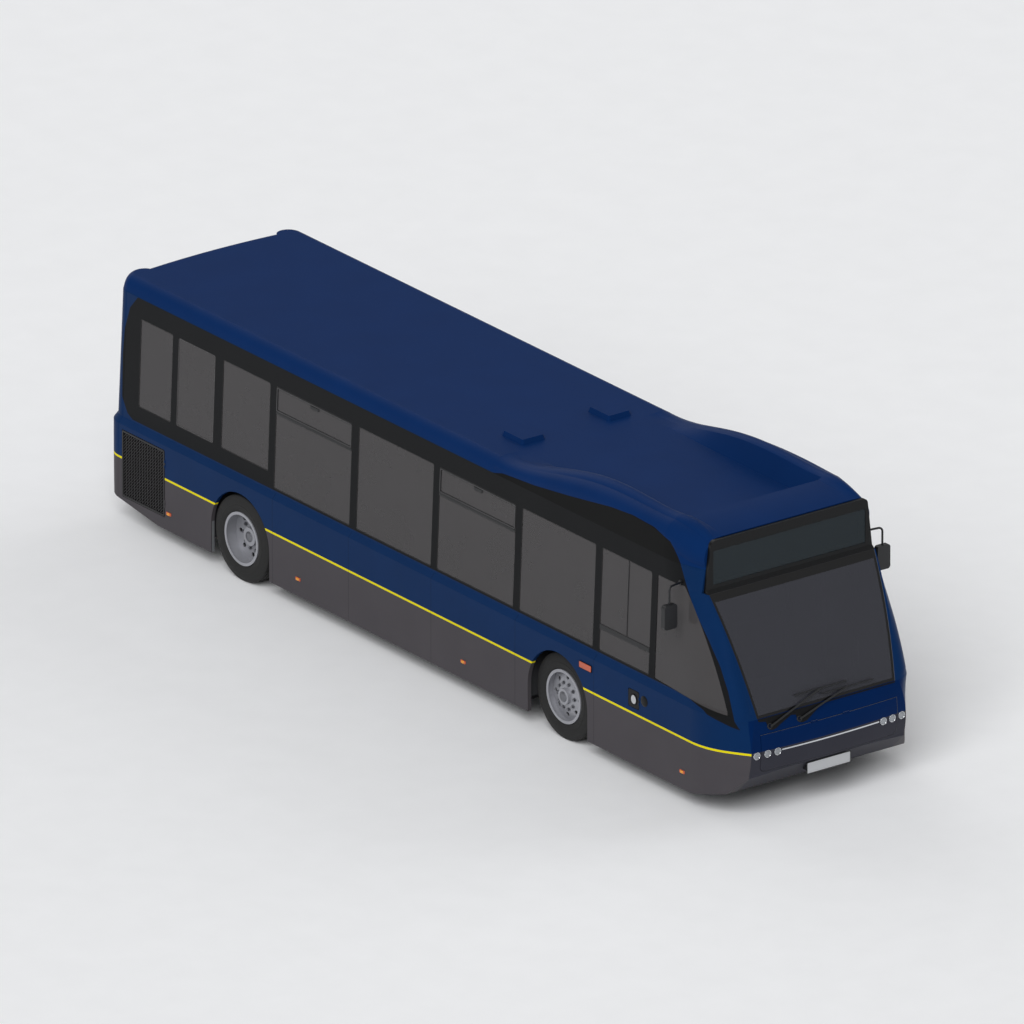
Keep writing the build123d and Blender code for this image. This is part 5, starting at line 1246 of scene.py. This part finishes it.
@dataclass
class RoadWheel:
    """Tyres with grooved treads, wheel nuts and hub cap on one wheel body."""

    body: str
    node: str
    centres: tuple[float, ...]
    x: float
    side: Side
    nut_circle: float
    nut_base: float
    hub_face: float
    radius: float = 0.465
    half: float = 0.1275
    rim: float = 0.2863
    shoulder: float = 0.042
    grooves: tuple[float, ...] = (-0.066, -0.023, 0.023, 0.066)
    groove_depth: float = 0.012
    groove_halves: Pair = (0.0055, 0.0035)
    crown: float = 0.004
    nuts: int = 10
    nut_radius: float = 0.0165

    WASHER = ((0.0, 0.0), (0.022, 0.0), (0.022, 0.004), (0.017, 0.005), (0.0, 0.005))
    HUB_CAP = ((0.0, 0.014), (0.030, 0.013), (0.048, 0.009), (0.056, 0.002), (0.056, 0.0), (0.0, 0.0))
    # The tyre's wall from bead to shoulder: above the rim or below the tread, and in from its full width
    ABOVE_RIM = ((0.0, 0.022), (0.012, 0.012), (0.040, 0.003), (0.075, 0.0005), (0.078, 0.003),
                 (0.110, 0.004))
    BELOW_TREAD = ((0.042, 0.012), (0.034, 0.0145), (0.018, 0.018), (0.0075, 0.026), (0.0042, 0.042))

    def outline(self) -> Outline:
        """Draw the tyre's section from one bead over the tread to the other.

        Returns:
            The closed outline's points, as radius and place along the axle.
        """
        half, top = self.half, self.radius
        mouth, floor = self.groove_halves
        wall = [(self.rim + up, half - back) for up, back in self.ABOVE_RIM]
        wall += [(top - down, half - back) for down, back in self.BELOW_TREAD]
        tread = []
        for w in reversed(self.grooves):
            edge = top - 0.0002 - self.crown * (abs(w) / (half - self.shoulder)) ** 2
            foot = edge - self.groove_depth
            tread += [(edge, w + mouth), (foot, w + floor), (foot, w - floor), (edge, w - mouth)]
        return wall + tread + [(r, -w) for r, w in reversed(wall)]

    def build(self) -> None:
        """Turn the tyres and fit the nuts and the cap."""
        for number, y in enumerate(self.centres):
            origin = Vector((self.x, y, self.radius))
            tyre = Mesher(f"{self.node}_grooved_{number + 1}")
            tyre.turned(self.outline(), basis(-UPWARD, LEFTWARD, origin), 72, True)
            tyre.done(TYRE_RUBBER, self.body, origin=origin, replaces=self.node)
        face = basis(UPWARD, LEFTWARD * self.side.value,
                     Vector((self.x, max(self.centres, key=abs), self.radius)))
        nuts, washers = Mesher(f"{self.body}_nuts"), Mesher(f"{self.body}_washers")
        for i in range(self.nuts):
            spot = face @ Matrix.Rotation(2 * math.pi * i / self.nuts, 4, "Z") @ Matrix.Translation(
                (self.nut_circle, 0, self.nut_base))
            nuts.plate(ellipse(self.nut_radius, self.nut_radius, 6), spot, 0.018, 0.005, 0.12)
            washers.turned(self.WASHER, spot, 16)
        nuts.done(WHEEL_STEEL, self.body, 0.001)
        washers.done(WHEEL_STEEL, self.body)
        hub = face @ Matrix.Translation((0, 0, self.hub_face))
        Mesher(f"{self.body}_hub_cap").turned(self.HUB_CAP, hub).done(WHEEL_STEEL, self.body)
        LOG.info("road wheel %s: grooved tyres, nuts, washers and hub cap", self.body)


@dataclass(frozen=True)
class Pad:
    """One crowned seat pad: sides pulled in between the corners, sewn channels and a piped top seam."""

    width: float
    length: float
    edge: float
    crown: float
    channels: tuple[float, ...] = ()
    steps: int = 14
    corner_pull: float = 0.075
    side_pull: float = 0.035
    channel_width: float = 0.05
    channel_depth: float = 0.35
    piping: float = 0.003
    # Below its seam the pad swells out and then tucks in: share of the seam's height, and growth
    SKIRT = ((0.75, 0.004), (0.35, 0.004), (0.0, -0.006))

    def spot(self, u: float, v: float, w: float, grow: float = 0.0) -> Vector:
        """Find a point of the pad.

        Args:
            u: Share of half the width.
            v: Share of half the length.
            w: Height.
            grow: How much the pad is larger at this height.

        Returns:
            The point in the pad's own frame.
        """
        corner = 1 - self.corner_pull * (u * v) ** 4
        pull_u, pull_v = 1 - self.side_pull * (1 - v * v), 1 - self.side_pull * (1 - u * u)
        return Vector((u * (self.width / 2 + grow) * corner * pull_u,
                       v * (self.length / 2 + grow) * corner * pull_v, w))

    def height(self, u: float, v: float) -> float:
        """Find the pad's height, with its channels pressed in.

        Args:
            u: Share of half the width.
            v: Share of half the length.

        Returns:
            The height over the pad's foot.
        """
        dome = self.crown * math.sqrt(max(0.0, (1 - u ** 4) * (1 - v ** 4)))
        sewn = sum(math.exp(-((v - c) / self.channel_width) ** 2) for c in self.channels)
        return self.edge + dome - self.channel_depth * self.crown * sewn * (1 - u ** 6)

    def build(self, name: str, place: Matrix, node: str, cords: Mesher) -> None:
        """Build the pad and sew its piping.

        Args:
            name: Its name.
            place: The frame that it rests in, face outwards.
            node: The CAD node that it takes the place of.
            cords: The mesh that its piping goes into.
        """
        n, made = self.steps, Mesher(name)
        grid = [2 * i / n - 1 for i in range(n + 1)]
        top = {(i, j): made.bm.verts.new(place @ self.spot(u, v, self.height(u, v)))
               for i, u in enumerate(grid) for j, v in enumerate(grid)}
        for i in range(n):
            for j in range(n):
                made.bm.faces.new((top[i, j], top[i + 1, j], top[i + 1, j + 1], top[i, j + 1]))
        border = [(i, 0) for i in range(n)] + [(n, j) for j in range(n)]
        border += [(n - i, n - j) for i, j in border]
        rows = [[top[key] for key in border]]
        rim = [(grid[i], grid[j]) for i, j in border]
        for share, grow in self.SKIRT:
            rows.append([made.bm.verts.new(place @ self.spot(u, v, self.edge * share, grow)) for u, v in rim])
        for first, second in zip(rows, rows[1:]):
            made.band(first, second)
        made.bm.faces.new(rows[-1])
        seam = [place @ self.spot(u, v, self.edge, 0.0005) for u, v in rim]
        cords.tube(seam + seam[:1], self.piping, 6)
        made.done(MOQUETTE, "body", replaces=node)


@dataclass
class SeatSet:
    """Passenger seats in pairs and the driver's seat: legs, shells, handles and crowned moquette pads."""

    width: float = 0.430
    depth: float = 0.420
    between: float = 0.020
    row_y: float = 0.682
    pan: float = 0.025
    # Outlines are width, height and corner radius
    foot_plate: Triple = (0.30, 0.10, 0.02)
    foot_thickness: float = 0.006
    leg: float = 0.33
    leg_radius: float = 0.019
    leg_offset: float = 0.09
    web: Triple = (0.24, 0.012, 0.004)
    back_lean: float = -0.145
    back_rise: float = 0.635
    back_shell: Triple = (0.418, 0.640, 0.05)
    low_floor: float = 0.340
    low_rows: tuple[float, ...] = (1.250, 0.470, -0.310, -1.090)
    # On the wheel boxes and the rear floor: place along the bus, height of the floor and height of the leg
    rear_rows: tuple[Triple, ...] = ((-2.960, 1.000, 0.09), (-3.900, 0.760, 0.33), (-4.650, 0.760, 0.33))
    cushion: Pad = Pad(0.408, 0.352, 0.042, 0.018)
    back: Pad = Pad(0.394, 0.575, 0.026, 0.016, (-0.3, 0.35))
    driver: Pair = (3.900, -0.640)
    driver_base: float = 0.330
    driver_foot: Triple = (0.34, 0.34, 0.03)
    driver_pan: Triple = (0.45, 0.44, 0.05)
    driver_shell: Triple = (0.44, 0.68, 0.07)
    folds: int = 6
    fold_pitch: float = 0.046
    fold_outer: Triple = (0.30, 0.30, 0.04)
    fold_inner: Triple = (0.285, 0.285, 0.04)
    driver_cushion: Pad = Pad(0.45, 0.46, 0.075, 0.032, (0.35,))
    driver_back: Pad = Pad(0.43, 0.60, 0.055, 0.030, (-0.3, 0.45))

    GRIP = ((-0.17, 0.285), (-0.17, 0.335), (-0.13, 0.352), (0.13, 0.352), (0.17, 0.335), (0.17, 0.285))

    def build(self) -> None:
        """Build every seat."""
        self.frames, self.shells = Mesher("seat_legs"), Mesher("seat_shells")
        self.rails, self.piping = Mesher("seat_handles"), Mesher("seat_piping")
        self.count = 0
        places = [(x, y, self.low_floor, self.leg) for y in (self.row_y, -self.row_y) for x in self.low_rows]
        places += [(x, y, floor, leg) for x, floor, leg in self.rear_rows for y in (self.row_y, -self.row_y)]
        for place in places:
            self.pair(*place)
        for mesher, finish, bevel in ((self.frames, SATIN_BLACK, 0.001), (self.shells, DASH_PLASTIC, 0.004),
                                      (self.rails, POLE_PAINT, 0.0), (self.piping, PIPING, 0.0)):
            mesher.done(finish, "body", bevel, replaces="passenger_seats")
        self.driver_seat()
        LOG.info("seats: %d passengers' pads on shells, legs and handles, and the driver's seat", self.count)

    def pair(self, x: float, y: float, floor: float, leg: float) -> None:
        """Build one pair of seats.

        Args:
            x: Place along the bus.
            y: Place across it.
            floor: Height of the floor that it stands on.
            leg: Height of its leg.
        """
        pan_z = floor + leg + 2 * GAP
        top = pan_z + self.pan + GAP
        foot = Facing.UP.at(x, y, floor + GAP)
        low, radius = self.foot_thickness, self.leg_radius
        self.frames.plate(rounded(*self.foot_plate), foot, low)
        for dx in (-self.leg_offset, self.leg_offset):
            tube = ((0.0, low), (radius, low), (radius, leg), (0.0, leg))
            self.frames.turned(tube, foot @ Matrix.Translation((dx, 0, 0)), 16)
        self.frames.plate(rounded(*self.web), foot, leg - 0.03, low)
        shell = rounded(self.depth, 2 * self.width + self.between, 0.04)
        self.shells.plate(shell, Facing.UP.at(x, y, pan_z), self.pan)
        for step in (-1, 1):
            cy = y + step * (self.width + self.between / 2) / 2
            self.numbered("cushion", self.cushion, Facing.CUSHION.at(x + 0.030, cy, top))
            middle = Vector((x - 0.278, cy, top + self.back_rise / 2))
            back = self.leaning(self.back_lean, self.back_rise, middle)
            self.shells.plate(rounded(*self.back_shell), back, 0.010, 0.001)
            self.numbered("back", self.back, back @ Matrix.Translation((0, 0.018, 0.0112)))
            self.rails.tube([back @ Vector((u, v, -0.010)) for u, v in self.GRIP], 0.010, 8)

    def leaning(self, back: float, rise: float, origin: Vector) -> Matrix:
        """Make a frame that leans back and faces ahead.

        Args:
            back: How far it goes back along the bus.
            rise: How far it rises over that.
            origin: Its origin.

        Returns:
            The frame's matrix.
        """
        lean = Vector((back, 0, rise)).normalized()
        return basis(lean, Vector((lean.z, 0, -lean.x)), origin)

    def numbered(self, kind: str, pad: Pad, place: Matrix) -> None:
        """Build a passenger seat's pad under the next free number."""
        self.count += 1
        pad.build(f"seat_{kind}_{self.count:02d}", place, "passenger_seats", self.piping)

    def driver_seat(self) -> None:
        """Build the driver's sprung seat with its bellows and pads."""
        x, y = self.driver
        floor = self.low_floor + GAP
        seat_z = floor + self.driver_base
        base = Facing.UP.at(x, y, floor)
        stand, cords = Mesher("driver_seat_base"), Mesher("driver_seat_piping")
        stand.plate(rounded(*self.driver_foot), base, 0.020)
        for fold in range(self.folds):
            z = 0.022 + self.fold_pitch * fold
            stand.plate(rounded(*self.fold_outer), base, 0.022, z, shrink=0.05)
            stand.plate(rounded(*self.fold_inner), base, 0.022, z + self.fold_pitch / 2)
        stand.plate(rounded(*self.driver_pan), base, 0.026, 0.302)
        back = self.leaning(-0.115, 0.70, Vector((x - 0.315, y, seat_z + 0.40)))
        stand.plate(rounded(*self.driver_shell), back, 0.018)
        stand.done(DASH_PLASTIC, "body", 0.004, replaces="driver_seat")
        seat, back = Facing.CUSHION.at(x, y, seat_z), back @ Matrix.Translation((0, -0.02, 0.0185))
        self.driver_cushion.build("driver_seat_cushion", seat, "driver_seat", cords)
        self.driver_back.build("driver_seat_back", back, "driver_seat", cords)
        cords.done(PIPING, "body", replaces="driver_seat")


@dataclass
class CabinDetails:
    """Destination board, mirror glass, door handrails and pedals."""

    board: Triple = (1.80, 0.32, 0.01)
    board_at: Triple = (4.570, 0.0, 2.52)
    door_middle: float = 3.655
    rail_depth: float = 0.052
    rail_stand: float = 0.020
    rail_offset: float = 0.075
    rail_zs: tuple[float, ...] = (0.70, 0.74, 1.10, 1.46, 1.50)
    mirror_top: float = 2.18
    mirror_share: Pair = (0.84, 0.88)
    pedal: Triple = (0.08, 0.16, 0.015)
    pedal_at: Pair = (4.60, 0.42)
    pedal_ys: Pair = (-0.56, -0.70)
    pedal_out: Triple = (-0.6, 0, 0.8)
    pedal_arm: Triple = (0.05, 0, -0.078)

    def build(self) -> None:
        """Fit out the cab and the doorway."""
        board = Mesher("destination_board")
        board.plate(rounded(*self.board), Facing.FRONT.at(*self.board_at), 0.020)
        board.done(DISPLAY_BOARD, "body", 0.002)
        self.mirrors()
        self.handrails()
        self.pedals()
        LOG.info("cabin details: blank board, mirror glass, door handrails and pedals")

    def mirrors(self) -> None:
        """Lay silvered glass on the rear face of each mirror head."""
        points = [v.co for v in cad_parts["mirrors"].data.vertices]
        made = Mesher("mirror_glasses")
        for side in Side:
            head = [p for p in points if p.y * side.value > 0 and p.z < self.mirror_top]
            low, high = (Vector([pick(p[i] for p in head) for i in range(3)]) for pick in (min, max))
            place = Facing.REAR.at(low.x, (low.y + high.y) / 2, (low.z + high.z) / 2)
            width, height = self.mirror_share[0] * (high.y - low.y), self.mirror_share[1] * (high.z - low.z)
            made.plate(rounded(width, height, 0.025), place, 0.0025, GAP)
        made.done(MIRROR_SILVER, "body", 0.0005)

    def handrails(self) -> None:
        """Bend an inner handrail for each of the two door leaves."""
        for body, sign in (("door_rear", -1), ("door_front", 1)):
            x = self.door_middle + sign * self.rail_offset
            stands = (self.rail_stand, 0.0, 0.0, 0.0, self.rail_stand)
            path = [Side.LEFT.wall(x, z, self.rail_depth) @ Vector((0, 0, stand))
                    for z, stand in zip(self.rail_zs, stands)]
            Mesher(f"{body}_handrail").tube(path, 0.012, 10).done(POLE_PAINT, body)

    def pedals(self) -> None:
        """Set the driver's two pedals on their arms."""
        pedals, out = Mesher("driver_pedals"), Vector(self.pedal_out).normalized()
        x, z = self.pedal_at
        for y in self.pedal_ys:
            foot = Vector((x, y, z))
            pedals.plate(rounded(*self.pedal), basis(out.cross(LEFTWARD), out, foot), 0.012)
            pedals.tube([foot, foot + Vector(self.pedal_arm)], 0.010)
        pedals.done(SEAL_RUBBER, "body", 0.002)


@dataclass
class Studio:
    """Plain pale floor, soft light and the camera at the photograph's angle."""

    back: Triple = (0.74278, -0.55709, 0.37139)
    up: Triple = (-0.29711, 0.22283, 0.92848)
    right: Triple = (0.6, 0.8, 0.0)
    target: Triple = (-0.052, 0.039, 1.385)
    lens: float = 1200.0
    sensor: float = 36.0
    reach: float = 0.28878
    clip: Pair = (1.0, 2000.0)
    floor_half: float = 400.0
    sky: float = 0.31
    lamp_angle: float = 45.0
    lamps: tuple[tuple[str, float, Triple], ...] = (
        ("soft_key", 1.95, (0.42, -0.62, 0.66)), ("soft_fill_left", 0.6, (0.10, 0.90, 0.42)),
        ("soft_fill_rear", 0.5, (-0.86, 0.10, 0.50)))

    def build(self) -> None:
        """Set up light, floor and camera."""
        self.light()
        self.floor()
        self.camera()
        LOG.info("studio: sky, soft key and fill lamps, floor and camera")

    def light(self) -> None:
        """Set an even pale sky, a soft key lamp on the shown side and weak fills on the left and the rear."""
        world = bpy.data.worlds.new("studio_sky")
        bpy.context.scene.world = world
        world.use_nodes = True
        back = world.node_tree.nodes["Background"]
        back.inputs["Color"].default_value = linear("ffffff")
        back.inputs["Strength"].default_value = self.sky
        for name, energy, source in self.lamps:
            lamp = bpy.data.lights.new(name, "SUN")
            lamp.energy, lamp.angle = energy, math.radians(self.lamp_angle)
            made = show(name, lamp)
            made.rotation_mode = "QUATERNION"
            made.rotation_quaternion = Vector(source).to_track_quat("Z", "Y")

    def floor(self) -> None:
        """Lay a plain pale floor that keeps the bus's shadow."""
        half, mesh = self.floor_half, bpy.data.meshes.new("floor_sheet")
        corners = [(-half, -half, 0), (half, -half, 0), (half, half, 0), (-half, half, 0)]
        mesh.from_pydata(corners, [], [(0, 1, 2, 3)])
        mesh.materials.append(STUDIO_PAINT.material())
        show("studio_floor", mesh)

    def camera(self) -> None:
        """Set up a very long lens, because the photograph is a parallel view."""
        data = bpy.data.cameras.new("photo_camera")
        data.lens, data.sensor_width = self.lens, self.sensor
        data.clip_start, data.clip_end = self.clip
        eye = show("photo_camera", data)
        eye.location = Vector(self.target) + Vector(self.back) * (self.reach * self.lens)
        eye.rotation_mode = "QUATERNION"
        eye.rotation_quaternion = Matrix((self.right, self.up, self.back)).transposed().to_quaternion()
        bpy.context.scene.camera = eye


WHEELS = (
    RoadWheel("front_wheel_left", "front_tyre_left", (1.0565,), 2.43, Side.LEFT, 0.137, 0.0785, 0.121),
    RoadWheel("front_wheel_right", "front_tyre_right", (-1.0565,), 2.43, Side.RIGHT, 0.137, 0.0785, 0.121),
    RoadWheel("rear_wheel_left", "rear_tyres_left", (1.1165, 0.8265), -2.96, Side.LEFT, 0.155, -0.0385,
              0.018),
    RoadWheel("rear_wheel_right", "rear_tyres_right", (-1.1165, -0.8265), -2.96, Side.RIGHT, 0.155, -0.0385,
              0.018),
)


def main() -> None:
    """Build the classes in order."""
    logging.basicConfig(level=logging.INFO, format="%(message)s")
    Dressing().dress()
    for fittings in (WindowFittings(), FrontFittings(), SideFittings(), RearFittings(), CabinDetails(),
                     *WHEELS, SeatSet(), Studio()):
        fittings.build()
    bpy.context.scene.view_settings.view_transform = "Standard"


if __name__ == "__main__":
    main()
